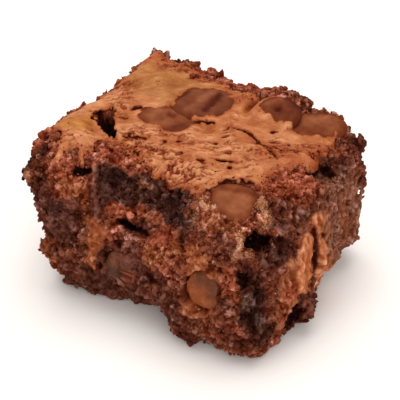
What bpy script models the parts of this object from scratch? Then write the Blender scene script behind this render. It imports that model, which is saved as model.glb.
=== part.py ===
"""A square of chocolate brownie with chocolate chips in its top and cut sides.

The brownie stands on its flat base, with +Z up and the origin at the middle of
the base. -Y is the long cut side that faces left in the usual view, +X the cut
side that faces right. All sizes are in metres.

The body is one solid. It starts as a box of evenly numbered points, which is
pressed into the plan outline at each height, then swollen and hollowed by the
lumps and hollows that tearing and cutting leave, and roughened by crumb noise.
Each chip is a flattened, uneven drop of chocolate that sits in its own socket.
"""

import math

import bmesh
import bpy
from mathutils import Euler, Matrix, Vector, noise

MM = 0.001

# Driving dimensions: the box that the brownie would fill with sharp corners.
LENGTH = 60.4 * MM
DEPTH = 53.2 * MM
HEIGHT = 34.0 * MM
CELLS = (31, 27, 19)
CROWDING = 0.2
CORNER_ROUNDING = 0.09
CORNER_SHARPNESS = 5
RIM_DROP = 1.9 * MM
RIM_SHARPNESS = 8
RIM_ROUNDING = 0.035
DOME = 0.6 * MM
EDGE_SMOOTHING_PASSES = 6
SOCKET_GAP = 0.3 * MM

# The upper part of the front side is torn back behind the line of its corners:
# how deep, the middle and half width of the tear from -1 to 1 across, and the
# share of HEIGHT where it starts.
TEAR_DEPTH = 8.0 * MM
TEAR_MIDDLE = -0.13
TEAR_HALF_WIDTH = 0.85
TEAR_START = 0.42

# How far each corner of the plan outline is pulled in from the LENGTH by DEPTH
# rectangle, as (x, y) in millimetres, at a few heights, each a share of HEIGHT.
CORNER_SIGNS = {"left": (-1, -1), "front": (1, -1), "right": (1, 1), "back": (-1, 1)}
PULLED_IN = (
    (0.00, {"left": (5.2, 3.6), "front": (0.0, 2.2), "right": (3.6, 5.0), "back": (3.5, 2.5)}),
    (0.12, {"left": (3.2, 1.8), "front": (-0.8, 1.2), "right": (-0.6, 1.8), "back": (2.0, 1.5)}),
    (0.35, {"left": (1.6, 0.8), "front": (0.0, 0.5), "right": (-0.6, 1.6), "back": (1.0, 0.8)}),
    (0.65, {"left": (1.4, 0.8), "front": (1.5, 1.5), "right": (-0.4, 2.2), "back": (0.6, 0.5)}),
    (0.88, {"left": (-2.2, -1.6), "front": (3.0, 3.5), "right": (-1.6, 1.2), "back": (-0.6, 0.4)}),
    (1.00, {"left": (-1.4, -1.2), "front": (5.5, 6.0), "right": (-0.4, 1.6), "back": (-1.2, -0.2)}),
)
# How far each corner of the top stands above or below HEIGHT, in millimetres.
CORNER_RISE = {"left": -1.2, "front": -3.4, "right": 1.2, "back": 4.4}

# Swellings (positive) and hollows (negative) of the torn sides and top:
# (what it is, middle, reach, push), in millimetres.
LUMPS = (
    ("undercut along the front base", (-7, -25, 1), 9.0, -5.0),
    ("undercut beside the heel", (2, -24, 1), 5.0, -3.0),
    ("heel of the front corner", (22, -24, 4), 8.0, 1.2),
    ("lump at the foot of the right side", (30, -4, 3), 6.0, 3.0),
    ("notch beside the foot lump", (30, -13, 3), 3.0, -1.6),
    ("recess by the right corner", (28, 14, 1), 6.5, -4.6),
    ("hanging right corner", (29, 22, 12), 8.0, 0.8),
    ("cavity under the front corner", (29, -17, 19), 4.0, -3.2),
    ("cavity of the front side", (-10, -26, 14), 3.5, -2.6),
    ("hollow of the torn front", (-6, -21, 26), 8.0, -1.2),
    ("ridge of the torn front", (-17, -22, 27), 4.0, 1.6),
    ("belly of the front side", (3, -26, 14), 8.0, 0.8),
    ("pit in the top", (-20.7, -6.4, 35), 4.0, -5.6),
    ("plate at the left rim", (-27, -11, 34), 9.0, 2.6),
    ("slope of the front top corner", (21, -16, 33), 8.0, -1.6),
    ("slope of the right rim", (27, -3, 33), 8.0, -2.0),
    ("swell under the middle chips", (-10, 9, 35), 8.0, 0.8),
    ("swell under the back chips", (6, 22, 35), 8.0, 2.4),
    ("dip of the back rim", (-10, 24, 36), 6.0, -1.0),
    ("dip of the left rim", (-29, 12, 36), 7.0, -1.8),
    ("crumb lump on the back rim", (7, 25, 37), 4.0, 2.6),
    ("cavity of the right top corner", (26, 8, 33), 4.0, -2.0),
    ("hollow of the back side", (6, 26, 16), 10.0, -2.2),
    ("lump of the back side", (-16, 25, 12), 8.0, 1.8),
    ("cavity of the back side", (-4, 26, 8), 4.0, -2.4),
    ("hollow of the left side", (-29, 6, 14), 9.0, -1.8),
    ("lump of the left side", (-29, -8, 20), 7.0, 1.4),
    ("cavity of the left side", (-29, 14, 24), 4.0, -2.2),
)

# Crumb noise: (size of one lump, height of it), in millimetres.
CRUMB_NOISE = ((9.0, 1.6), (4.2, 2.0))
NOISE_SEED = Vector((3.1, 7.7, 1.9))
# How much less the crusted top is roughened than the torn sides.
TOP_CALM = 0.5

# Chips: name, middle in plan, half length, half width, half thickness, how deep
# the middle lies under the surface that the chip lies along, and turn about Z.
TOP_CHIPS = (
    ("chip_left", (-11.3, 2.6), 6.7, 3.8, 1.8, 0.7, 24),
    ("chip_middle", (-7.0, 12.4), 6.2, 4.1, 2.2, 0.7, 26),
    ("chip_back", (7.9, 16.6), 5.4, 4.1, 2.4, 0.5, 14),
    ("chip_right", (18.9, 18.8), 6.6, 3.9, 2.1, 0.5, 34),
    ("chip_front", (16.5, -11.6), 5.3, 4.7, 2.0, 0.3, 33),
)
# Chips cut through at the front side: name, middle across and up, half width,
# half height and how far the cut face stands out from the side.
SIDE_CHIPS = (
    ("chip_cut_left", (-5.6, 12.4), 2.9, 4.0, 0.6),
    ("chip_cut_front", (16.5, 16.0), 4.4, 5.2, 0.7),
)
CHIP_SEGMENTS = 16
CHIP_RINGS = 8
CHIP_FLATNESS = 0.75
SIDE_CHIP_THICKNESS = 3.0 * MM

COLOURS = {
    "crumb": ((0.115, 0.040, 0.018, 1.0), 0.75),
    "chip": ((0.190, 0.075, 0.038, 1.0), 0.38),
}


def clear_scene():
    for obj in list(bpy.data.objects):
        bpy.data.objects.remove(obj)


def material(name):
    """A plain coloured finish."""
    colour, roughness = COLOURS[name]
    finish = bpy.data.materials.new(name)
    finish.use_nodes = True
    shader = finish.node_tree.nodes["Principled BSDF"]
    shader.inputs["Base Color"].default_value = colour
    shader.inputs["Roughness"].default_value = roughness
    shader.inputs["Metallic"].default_value = 0.0
    return finish


def add_object(name, mesh, finish):
    obj = bpy.data.objects.new(name, mesh)
    bpy.context.scene.collection.objects.link(obj)
    mesh.materials.append(finish)
    return obj


def eased(share):
    """0 to 1, starting and ending level."""
    return share * share * (3 - 2 * share)


def pulled_in(corner, up):
    """How far a corner of the outline is pulled in at a share of the height."""
    below, above = PULLED_IN[0], PULLED_IN[-1]
    for first, second in zip(PULLED_IN, PULLED_IN[1:]):
        if first[0] <= up <= second[0]:
            below, above = first, second
    share = eased((up - below[0]) / (above[0] - below[0]))
    near, far = Vector(below[1][corner]), Vector(above[1][corner])
    return near.lerp(far, share) * MM


def corner_weights(across, along):
    """How much each corner counts at a place in the plan, each way from -1 to 1."""
    return {
        corner: (1 + sign[0] * across) * (1 + sign[1] * along) / 4
        for corner, sign in CORNER_SIGNS.items()
    }


def torn_back(across, along, up):
    """How far the tear of the front side moves a point back."""
    sideways = eased(max(1 - abs(across - TEAR_MIDDLE) / TEAR_HALF_WIDTH, 0))
    upward = eased(max((up - TEAR_START) / (1 - TEAR_START), 0))
    return TEAR_DEPTH * sideways * upward * ((1 - along) / 2) ** 2


def block_point(across, along, up):
    """Where a point of the numbered box lies in the brownie, before its lumps."""
    round_x = 1 - CORNER_ROUNDING * abs(along) ** CORNER_SHARPNESS
    round_y = 1 - CORNER_ROUNDING * abs(across) ** CORNER_SHARPNESS
    round_rim = 1 - RIM_ROUNDING * up**RIM_SHARPNESS
    x = across * round_x * round_rim * LENGTH / 2
    y = along * round_y * round_rim * DEPTH / 2
    weights = corner_weights(across, along)
    for corner, weight in weights.items():
        inset = pulled_in(corner, up)
        x -= CORNER_SIGNS[corner][0] * inset.x * weight * abs(across)
        y -= CORNER_SIGNS[corner][1] * inset.y * weight * abs(along)
    y += torn_back(across, along, up)
    rise = sum(CORNER_RISE[corner] * weight for corner, weight in weights.items()) * MM
    edge = max(abs(across), abs(along))
    dome = DOME * (1 - across * across) * (1 - along * along)
    top = HEIGHT + rise + dome - RIM_DROP * edge**RIM_SHARPNESS
    return Vector((x, y, up * top))


def push_at(place, facing):
    """How far the surface at a place is pushed out by the lumps and the noise."""
    push = 0.0
    for _, middle, reach, height in LUMPS:
        away = (place - Vector(middle) * MM).length / (reach * MM)
        push += height * MM * math.exp(-2 * away * away)
    roughness = 1 - TOP_CALM * max(facing.z, 0)
    for size, height in CRUMB_NOISE:
        push += roughness * height * MM * noise.noise(place / (size * MM) + NOISE_SEED)
    return push


def crowded(step, steps):
    """A step turned into -1 to 1, with the steps closer together at both ends."""
    even = 2 * step / steps - 1
    return even * (1 + CROWDING) - CROWDING * even**3


def box_point(step):
    """The place in the brownie of one numbered point of the box."""
    across, along, up = (crowded(number, cells) for number, cells in zip(step, CELLS))
    return block_point(across, along, (up + 1) / 2)


def box_mesh():
    """The six sides of the numbered box as one closed skin."""
    bm = bmesh.new()
    points = {}
    for axis in range(3):
        first, second = [other for other in range(3) if other != axis]
        for side in (0, CELLS[axis]):
            for i in range(CELLS[first]):
                for j in range(CELLS[second]):
                    ring = []
                    for a, b in ((i, j), (i + 1, j), (i + 1, j + 1), (i, j + 1)):
                        step = [0, 0, 0]
                        step[axis], step[first], step[second] = side, a, b
                        step = tuple(step)
                        if step not in points:
                            points[step] = bm.verts.new(box_point(step))
                        ring.append(points[step])
                    bm.faces.new(ring)
    bmesh.ops.recalc_face_normals(bm, faces=bm.faces)
    return bm


def make_body(finish):
    """The brownie itself, as one closed solid on a flat base."""
    bm = box_mesh()
    floor = [vert for vert in bm.verts if vert.co.z < 1e-6]
    for _ in range(EDGE_SMOOTHING_PASSES):
        bmesh.ops.smooth_vert(
            bm, verts=bm.verts, factor=0.5, use_axis_x=True, use_axis_y=True, use_axis_z=True
        )
    for vert in floor:
        vert.co.z = 0
    bm.normal_update()
    pushes = [vert.normal * push_at(vert.co, vert.normal) for vert in bm.verts]
    for vert, push in zip(bm.verts, pushes):
        vert.co += push
        vert.co.z = max(vert.co.z, 0)
    for vert in floor:
        vert.co.z = 0
    base = [face for face in bm.faces if all(vert.co.z < 1e-6 for vert in face.verts)]
    bmesh.ops.dissolve_faces(bm, faces=base)
    bmesh.ops.triangulate(bm, faces=bm.faces)
    mesh = bpy.data.meshes.new("brownie")
    bm.to_mesh(mesh)
    bm.free()
    return add_object("brownie", mesh, finish)


def surface_point(body, place):
    """The point of the body's top over a place in plan."""
    above = Vector((place.x, place.y, 2 * HEIGHT))
    return body.ray_cast(above, Vector((0, 0, -1)))[1]


def top_lie(body, plan, long, wide, depth, turn):
    """Where a chip lies: turned in plan, laid along the top and sunk into it."""
    middle = Vector((plan[0] * MM, plan[1] * MM, 0))
    spin = Matrix.Rotation(math.radians(turn), 3, "Z")
    ends = [surface_point(body, middle + spin @ Vector((side * long, 0, 0))) for side in (-1, 1)]
    flanks = [surface_point(body, middle + spin @ Vector((0, side * wide, 0))) for side in (-1, 1)]
    forward = (ends[1] - ends[0]).normalized()
    upward = forward.cross(flanks[1] - flanks[0]).normalized()
    axes = Matrix((forward, upward.cross(forward), upward)).transposed()
    level = sum((ends[0], ends[1], flanks[0], flanks[1], 2 * surface_point(body, middle)), Vector())
    return Matrix.LocRotScale(level / 6 - upward * depth, axes, None)


def surface_front(body, across, up):
    """How far forward the front side stands at a place across and up."""
    ahead = Vector((across * MM, -DEPTH, up * MM))
    return body.ray_cast(ahead, Vector((0, 1, 0)))[1].y


def chip_mesh(name, half_sizes, unevenness):
    """A flattened, slightly uneven drop of chocolate, with its middle at the origin."""
    bm = bmesh.new()
    bmesh.ops.create_uvsphere(bm, u_segments=CHIP_SEGMENTS, v_segments=CHIP_RINGS, radius=1.0)
    for vert in bm.verts:
        turn = math.atan2(vert.co.y, vert.co.x)
        spread = 1 + 0.05 * math.cos(3 * turn + unevenness) + 0.03 * math.cos(2 * turn - unevenness)
        tall = math.copysign(abs(vert.co.z) ** CHIP_FLATNESS, vert.co.z)
        vert.co = Vector((vert.co.x * spread, vert.co.y * spread, tall))
    bmesh.ops.scale(bm, verts=bm.verts, vec=half_sizes)
    mesh = bpy.data.meshes.new(name)
    bm.to_mesh(mesh)
    bm.free()
    mesh.shade_smooth()
    return mesh


def make_chip(name, half_sizes, lie, unevenness, finish):
    """One chip where it lies, and the slightly larger shape that cuts its socket."""
    chip = add_object(name, chip_mesh(name, half_sizes, unevenness), finish)
    chip.matrix_world = lie
    room = [half + SOCKET_GAP for half in half_sizes]
    cutter = add_object(name + "_socket", chip_mesh(name + "_socket", room, unevenness), finish)
    cutter.matrix_world = lie
    cutter.hide_render = True
    cutter.display_type = "WIRE"
    return cutter


def cut_socket(body, cutter):
    cut = body.modifiers.new(cutter.name, "BOOLEAN")
    cut.operation = "DIFFERENCE"
    cut.object = cutter
    cut.solver = "EXACT"


def main():
    clear_scene()
    body = make_body(material("crumb"))
    chocolate = material("chip")
    bpy.context.view_layer.update()
    for number, (name, plan, *sizes, turn) in enumerate(TOP_CHIPS):
        long, wide, thick, depth = [size * MM for size in sizes]
        lie = top_lie(body, plan, long, wide, depth, turn)
        cut_socket(body, make_chip(name, (long, wide, thick), lie, number, chocolate))
    for number, (name, (across, up), wide, tall, proud) in enumerate(SIDE_CHIPS):
        front = surface_front(body, across, up)
        place = Vector((across * MM, front - proud * MM + SIDE_CHIP_THICKNESS, up * MM))
        upright = Euler((math.radians(90), 0, 0))
        halves = [wide * MM, tall * MM, SIDE_CHIP_THICKNESS]
        lie = Matrix.LocRotScale(place, upright, None)
        cut_socket(body, make_chip(name, halves, lie, number + 1, chocolate))


main()
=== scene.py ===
"""Looks of a square of chocolate chip brownie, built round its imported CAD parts.

The crumb, the baked crust and the chips stand for the CAD nodes and keep their
places. Loose crumbs are scattered on top of them. Sizes in the tables are in
millimetres in the part's own frame: -Y is the long torn side, +X the cut side,
+Z up. The pieces are made in this order: crumb, crust, chips, loose crumbs.
"""

import math
from collections import namedtuple
from contextlib import contextmanager
from functools import cache

import bmesh
import bpy
import numpy as np
from bpy.props import FloatProperty, FloatVectorProperty, IntProperty, PointerProperty
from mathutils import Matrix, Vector, noise
from mathutils.bvhtree import BVHTree
from mathutils.kdtree import KDTree


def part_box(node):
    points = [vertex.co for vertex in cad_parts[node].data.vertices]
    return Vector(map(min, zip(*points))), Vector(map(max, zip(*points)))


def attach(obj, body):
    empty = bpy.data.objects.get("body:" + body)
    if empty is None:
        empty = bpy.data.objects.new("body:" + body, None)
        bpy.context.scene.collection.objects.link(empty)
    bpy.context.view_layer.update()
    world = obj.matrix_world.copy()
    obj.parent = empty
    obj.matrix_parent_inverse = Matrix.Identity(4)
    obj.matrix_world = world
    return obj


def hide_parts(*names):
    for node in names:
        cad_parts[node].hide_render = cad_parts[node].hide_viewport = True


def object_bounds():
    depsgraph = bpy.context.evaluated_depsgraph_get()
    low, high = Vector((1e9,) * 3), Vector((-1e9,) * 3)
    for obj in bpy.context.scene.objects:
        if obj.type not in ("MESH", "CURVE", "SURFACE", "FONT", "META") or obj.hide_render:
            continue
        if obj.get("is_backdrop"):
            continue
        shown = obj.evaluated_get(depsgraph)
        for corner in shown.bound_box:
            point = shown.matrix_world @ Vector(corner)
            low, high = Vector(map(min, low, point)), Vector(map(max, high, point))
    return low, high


bl_info = {
    "name": "Chocolate Chip Brownie",
    "version": (1, 0, 0),
    "blender": (4, 5, 0),
    "location": "3D View > Sidebar > Brownie",
    "description": "Crumb, crust, chips and loose crumbs of a square of brownie",
    "category": "Add Mesh",
}

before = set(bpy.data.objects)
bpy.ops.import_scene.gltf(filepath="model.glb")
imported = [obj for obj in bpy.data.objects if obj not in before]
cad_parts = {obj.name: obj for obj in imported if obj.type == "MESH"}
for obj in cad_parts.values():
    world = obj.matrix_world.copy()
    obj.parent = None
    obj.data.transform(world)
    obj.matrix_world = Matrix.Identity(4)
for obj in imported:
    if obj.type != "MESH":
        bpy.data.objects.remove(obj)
CAD_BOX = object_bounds()

MM = 0.001
SEED = 52
# Most triangles that the crumb or the crust may have.
MOST_TRIANGLES = 196000
# Distance in mm that counts as far from everything.
FAR = 9.0
# How far below the top's level points still count as the top's, in mm.
TOP_DEPTH = 4.0
# Finest size in mm of the core that the lumps lie on.
CORE_VOXEL = 0.7
# Crumb lower than this in mm is pressed flat on the base.
FLAT_BASE = 0.25
# Height in mm over the base that loose crumbs keep.
LOOSE_BASE = 0.02
# Share of the crumb's triangles that is kept where nobody sees them.
HIDDEN_SHARE = 0.08
# Bits of crust with fewer faces than this are left out.
FEWEST_FACES = 8
# How far out along x the cut sides begin, and over how much they fade in, in mm.
CUT_FROM = 27.0
CUT_FADE = 2.5
# How much a darker and a paler tone show in red, green and blue: darker crumb is redder.
DARKER_SPREAD = (0.75, 1.30, 1.95)
PALER_SPREAD = (0.75, 1.28, 1.75)


def display(red, green, blue):
    """A colour given as 0 to 255 on screen, in the linear values that Blender uses."""
    shares = [value / 255 for value in (red, green, blue)]
    return tuple(s / 12.92 if s <= 0.04045 else ((s + 0.055) / 1.055) ** 2.4 for s in shares)


# ---------------------------------------------------------------- what shows where

Zone = namedtuple("Zone", "name start end reach tint share grain push wet")
# Places of the crumb that differ from the rest. Each is a rounded streak from
# one point to another: (name, from, to, reach, tint, how much of the tint, how
# much of the crumb grain it keeps, push outwards, wetness).
ZONE_ROWS = (
    ("left corner crumbs", (-30.0, -20.5, 31.6), (-26.0, -25.0, 27.6), 4.0, "black", 0.72, 1.0, 0.1, 0.5),
    ("red flecks of the left corner",
     (-29.5, -20.0, 31.0), (-27.5, -23.5, 29.0), 1.1, "rust", 0.4, 1.0, 0.3, 0.2),
    ("pink rim of the left corner", (-32, -12, 33.5), (-31.0, -18.5, 32.6), 2.2, "red", 0.8, 0.8, 0.2, 0.2),
    ("light clod of the left tip",
     (-29.6, -24.4, 28.8), (-28.8, -24.6, 27.0), 1.1, "orange", 0.55, 0.8, 0.2, 0.1),
    ("left edge", (-24, -26.5, 26), (-23, -26, 13), 3.2, "dark", 0.7, 1.0, 0.0, 0.5),
    ("rusty flecks of the left edge", (-24.5, -26, 13), (-23.5, -26, 8), 1.8, "orange", 0.6, 1.0, 0.2, 0.1),
    ("red crumb under plates", (-23.4, -21.5, 31.6), (-17.6, -21.5, 30.0), 2.6, "red", 0.8, 1.0, 0.3, 0.1),
    ("tan clump by ridge", (-18.7, -23.8, 28.6), (-15.8, -23.0, 27.2), 2.1, "orange", 0.95, 0.8, 0.7, 0.1),
    ("mauve hollow, top", (-21.3, -26.0, 23.6), (-16.6, -24.8, 24.2), 2.2, "mauve", 0.8, 0.5, 0.0, 0.5),
    ("mauve hollow, foot", (-18.6, -25.6, 21.6), (-20.4, -25.0, 17.6), 2.6, "mauve", 0.9, 0.5, 0.0, 0.5),
    ("dark spot of the hollow",
     (-21.0, -26.2, 23.6), (-19.4, -26.0, 24.4), 1.4, "black", 0.6, 0.8, 0.0, 0.5),
    ("fudge band, left", (-12.6, -18.2, 30.4), (-9.8, -20.2, 25.8), 2.5, "fudge", 1.0, 0.9, -0.9, 0.7),
    ("fudge band, top", (-9.4, -16.0, 30.8), (3.6, -15.8, 30.4), 2.5, "fudge", 1.0, 0.9, -0.9, 0.7),
    ("fudge band, middle", (-8.4, -18.6, 27.2), (1.0, -17.4, 27.4), 2.6, "fudge", 1.0, 0.9, -1.0, 0.7),
    ("black lumps of the band, left",
     (-11.6, -17.6, 30.4), (-7.0, -16.4, 30.6), 1.7, "black", 0.75, 1.0, -0.5, 0.9),
    ("fudge band, right", (0.6, -17.4, 28.2), (9.0, -19.0, 29.2), 2.8, "fudge", 0.95, 0.9, -0.6, 0.7),
    ("red crumb under the band", (-3.6, -18.4, 24.9), (0.2, -18.0, 25.4), 1.6, "rust", 0.7, 1.0, 0.1, 0.3),
    ("flecks of the band", (-5.4, -15.6, 29.9), (-2.6, -15.4, 30.0), 1.0, "orange", 0.5, 1.0, -0.3, 0.2),
    ("dark crumb under the band",
     (-3.6, -17.4, 27.4), (-1.0, -17.0, 27.4), 1.4, "fudge", 0.9, 0.9, -0.5, 0.5),
    ("black clumps, high", (4.2, -16.4, 30.4), (6.6, -15.6, 31.2), 2.0, "black", 0.8, 1.0, -0.2, 0.9),
    ("black clumps, low", (6.2, -19.4, 28.4), (9.2, -19.6, 29.4), 2.4, "black", 0.75, 1.0, 0.1, 0.9),
    ("pale fleck of the black clumps",
     (7.6, -16.6, 31.2), (9.2, -17.0, 31.4), 0.8, "pink", 0.6, 1.0, 0.0, 0.2),
    ("pinkish ridge, top", (-16.2, -17.0, 32.0), (-14.2, -19.6, 28.8), 0.8, "pink", 0.6, 0.3, 0.2, 0.2),
    ("pinkish ridge, foot", (-14.0, -20.0, 27.6), (-11.7, -22.3, 22.8), 0.9, "mauve", 0.7, 0.3, 0.2, 0.2),
    ("red crumb over the cavity", (-9.4, -20.5, 24.6), (-5.0, -20.0, 24.4), 1.3, "red", 0.8, 0.8, 0.7, 0.1),
    ("purple crumb under the cavity",
     (-5.2, -23.0, 19.6), (1.0, -22.9, 19.8), 1.5, "pink", 0.5, 0.9, 0.0, 0.3),
    ("mauve crumb by the cavity",
     (-1.2, -20.9, 22.4), (1.0, -20.8, 22.2), 1.2, "mauve", 0.9, 0.8, 0.0, 0.4),
    ("dark crumb beyond the cavity",
     (0.6, -21.4, 23.6), (2.4, -21.6, 21.0), 1.3, "dark", 0.75, 1.0, -0.2, 0.4),
    ("dark crumb right of the cavity",
     (-0.4, -20.2, 24.0), (1.6, -20.2, 23.4), 1.5, "dark", 0.6, 1.0, -0.1, 0.3),
    ("bright red clump", (3.6, -21.8, 22.2), (6.2, -21.6, 23.6), 2.1, "red", 0.75, 0.7, 0.6, 0.15),
    ("brown patch, top", (-12.6, -23.8, 20.0), (-10.8, -23.9, 19.2), 2.3, "orange", 0.75, 0.2, 0.9, 0.15),
    ("brown patch, middle",
     (-12.2, -24.0, 18.0), (-11.5, -24.3, 13.2), 1.9, "orange", 0.95, 0.2, 0.9, 0.15),
    ("brown patch, foot", (-11.2, -24.6, 12.4), (-10.3, -25.2, 10.8), 1.5, "orange", 0.4, 0.4, 0.7, 0.15),
    ("dark crumb left of the patch",
     (-16.2, -24.0, 20.8), (-14.0, -24.2, 18.0), 1.4, "dark", 0.6, 1.0, 0.0, 0.3),
    ("bright tip of the patch",
     (-11.9, -24.2, 14.0), (-11.2, -24.4, 13.2), 0.9, "smear", 0.6, 0.3, 0.7, 0.1),
    ("tan crumbs of the belly", (2.0, -23.7, 18.6), (8.0, -22.9, 21.4), 2.2, "orange", 0.95, 1.0, 0.4, 0.1),
    ("dark crumb left of the belly",
     (-1.6, -23.4, 18.4), (-0.4, -24.4, 15.4), 1.8, "dark", 0.6, 0.9, 0.0, 0.3),
    ("mauve lumps of the belly", (9.0, -24.3, 20.4), (13.0, -24.6, 16.4), 2.1, "pink", 0.5, 0.8, 0.2, 0.5),
    ("dark crumb of the belly", (0.6, -24.6, 15.4), (6.1, -25.5, 14.2), 2.2, "mauve", 0.3, 1.0, -0.2, 0.4),
    ("soft crumb round the left cut chip",
     (-6.8, -24.6, 13.0), (-3.0, -24.4, 16.0), 3.4, "mauve", 0.6, 0.5, 0.0, 0.3),
    ("dark crumb left of the cut chip",
     (-9.0, -24.8, 13.4), (-8.6, -25.2, 9.6), 1.5, "dark", 0.8, 0.8, -0.2, 0.3),
    # Painted shade: the foot under the overhang is darkened with the fudge tint.
    ("foot of the front, left", (-18, -25, 7), (-12, -23, 4.5), 3.4, "fudge", 0.7, 0.6, 0.2, 0.3),
    ("foot of the front, middle", (-9, -20.5, 3.5), (8.0, -26.0, 8.0), 3.4, "fudge", 0.7, 0.6, 0.2, 0.3),
    ("brown column", (13.7, -22.9, 23.5), (15.6, -23.8, 19.5), 2.2, "orange", 0.95, 0.4, 0.8, 0.15),
    ("dark crumb left of the column",
     (9.8, -25.0, 14.0), (13.4, -26.4, 11.4), 1.8, "dark", 0.45, 0.9, 0.0, 0.3),
    ("dark crumb beside the column",
     (17.7, -21.0, 27.6), (18.7, -22.5, 24.6), 1.8, "dark", 0.6, 1.0, -0.1, 0.3),
    ("smooth brown crumb round the low chip",
     (16.6, -24.2, 20.4), (16.2, -25.2, 12.4), 3.6, "orange", 0.7, 0.4, 0.3, 0.15),
    ("brown crumb over the column",
     (13.4, -21.8, 26.6), (16.0, -22.0, 25.6), 1.4, "brown", 0.9, 0.9, 0.0, 0.3),
    ("orange crumb under the low chip",
     (15.6, -25.8, 13.0), (16.6, -25.7, 10.8), 1.8, "orange", 0.6, 0.8, 0.1, 0.2),
    ("shade over the low chip",
     (19.2, -23.8, 23.0), (21.3, -22.6, 21.2), 1.8, "brown", 0.8, 0.8, -0.3, 0.5),
    ("brown crumb right of the low chip",
     (22.2, -22.2, 22.4), (22.6, -22.6, 18.6), 1.3, "red", 0.6, 0.9, 0.1, 0.2),
    ("red crumb by the low chip", (21.8, -23.0, 20.2), (23.6, -23.2, 17.6), 1.6, "red", 0.6, 1.0, 0.4, 0.1),
    ("pale specks of the heel", (21.8, -24.2, 13.2), (23.7, -25.4, 10.2), 1.2, "pink", 0.45, 1.0, 0.3, 0.1),
    ("crumb under front chip",
     (11.5, -18.5, 30.4), (20.3, -17.2, 29.0), 2.3, "orange", 0.45, 1.0, -0.2, 0.1),
    # Painted shadow: dark red band under the crust's lip over the front chip.
    ("dark red band over the front chip",
     (11.4, -8.8, 32.6), (16.8, -6.4, 32.0), 1.2, "slit", 0.85, 0.8, -0.7, 0.3),
    ("sugary fringe, right", (21.7, -9.5, 31.2), (23.6, -11.4, 29.0), 1.5, "beige", 0.35, 1.0, 0.4, 0.0),
    ("sugary fringe, by hole", (21.7, -18.0, 27.8), (21.9, -20.0, 25.9), 0.9, "beige", 0.3, 1.0, 0.4, 0.0),
    ("sugary fringe, foot", (22.4, -20.2, 25.2), (24.8, -19.2, 24.8), 0.8, "beige", 0.3, 1.0, 0.3, 0.0),
    ("sugary fringe, left", (10.6, -14.3, 31.5), (12.6, -16.0, 31.3), 0.9, "beige", 0.2, 1.0, -0.4, 0.0),
    ("dark crumb by the hole",
     (24.6, -15.6, 26.4), (28.8, -11.2, 24.4), 2.2, "black", 0.65, 1.0, -0.2, 0.6),
    ("dark red crumb above the streak",
     (29.0, -8.8, 21.6), (29.4, -7.6, 19.4), 1.6, "dark", 0.5, 0.9, 0.0, 0.3),
    ("fudge below the hole", (25.8, -16.6, 23.8), (28.4, -12.6, 22.6), 1.7, "fudge", 0.85, 0.9, -0.2, 0.5),
    ("dark column", (26.4, -21.4, 20.8), (27.4, -22.2, 12.4), 2.7, "black", 0.8, 1.0, -0.8, 0.5),
    ("right part of the dark column",
     (27.9, -19.6, 16.8), (28.6, -19.8, 13.6), 1.9, "black", 0.75, 1.0, -0.2, 0.5),
    ("grey lump of the corner", (26.4, -22.5, 16.4), (26.7, -22.6, 15.4), 1.3, "grey", 0.9, 0.8, 0.3, 0.5),
    ("dark heel", (28.4, -21.9, 11.5), (28.9, -20.4, 6.5), 3.0, "black", 0.7, 1.0, -0.3, 0.8),
    ("pink crumb by the heel", (28.9, -13.6, 19.0), (28.7, -16.4, 17.4), 1.7, "pink", 0.6, 1.0, 0.2, 0.2),
    # Painted highlight: grey glints.
    ("grey glints of the heel", (28.6, -20.6, 11.4), (28.7, -19.8, 8.8), 1.5, "grey", 0.7, 1.0, 0.2, 0.5),
    ("foot of the heel", (24.7, -24.3, 5.0), (29.0, -16.0, 2.0), 2.8, "dark", 0.15, 1.0, 0.2, 0.4),
    ("dark crumb under the heel", (22.4, -24.8, 8.0), (24.6, -23.8, 5.4), 1.8, "dark", 0.6, 1.0, 0.0, 0.3),
    ("dark streaks of the slope", (24.4, -8.8, 29.4), (27.8, -6.8, 25.6), 2.2, "dark", 0.6, 1.0, 0.0, 0.6),
    # Painted highlight: grey strands on the dark slope.
    ("grey strands of the slope",
     (24.6, -10.2, 28.4), (26.8, -7.6, 26.6), 1.3, "grey", 0.45, 0.8, 0.2, 0.5),
    ("grey patch of the slope", (28.0, -3.0, 27.0), (28.8, -2.8, 23.6), 1.5, "grey", 0.5, 0.6, 0.3, 0.5),
    ("red strands of the rim", (18.4, -3.2, 33.0), (25.0, 0.8, 30.4), 3.0, "red", 0.95, 1.0, 0.1, 0.1),
    ("red strip, far end", (22.0, 1.5, 32.5), (24.5, 6.0, 31.5), 2.4, "red", 0.95, 1.0, 0.0, 0.1),
    ("dark spot of the right rim",
     (25.4, 8.4, 31.2), (28.6, 12.0, 29.0), 2.8, "black", 0.95, 0.8, -1.0, 0.8),
    ("knife streak, left", (29.8, -3.6, 21.0), (31.2, -7.4, 12.4), 1.9, "smear", 1.0, 0.12, 1.1, 0.1),
    ("knife streak, left foot", (30.2, -9.6, 18.0), (31.0, -15.0, 8.8), 2.4, "smear", 0.5, 0.2, 0.9, 0.1),
    ("red foot of the left streak",
     (30.4, -12.0, 14.0), (31.0, -15.4, 9.0), 1.6, "red", 0.8, 0.5, 0.2, 0.1),
    ("dark red crumb before the streak",
     (29.4, -17.6, 14.7), (29.6, -17.2, 9.5), 1.8, "dark", 0.45, 0.9, 0.0, 0.3),
    ("knife streak, right", (29.6, 3.1, 22.0), (30.0, 3.4, 13.0), 2.5, "smear", 1.0, 0.12, 1.3, 0.1),
    ("knife streak, right foot", (30.0, 3.4, 13.0), (30.2, 3.4, 6.0), 2.3, "smear", 0.75, 0.2, 1.0, 0.1),
    ("olive crumb beside the streak",
     (29.3, 5.4, 19.2), (29.6, 6.0, 13.0), 2.4, "olive", 0.8, 0.35, 0.4, 0.1),
    ("foot lump of the right side", (32.3, -6.9, 8.0), (32.3, -7.7, 4.0), 2.4, "black", 0.6, 0.8, 0.3, 0.3),
    ("right end, top", (28.6, 12.5, 28.0), (29.8, 15.5, 19.5), 4.4, "olive", 0.85, 0.5, 0.0, 0.3),
    ("dark crumb of the right rim",
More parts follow.
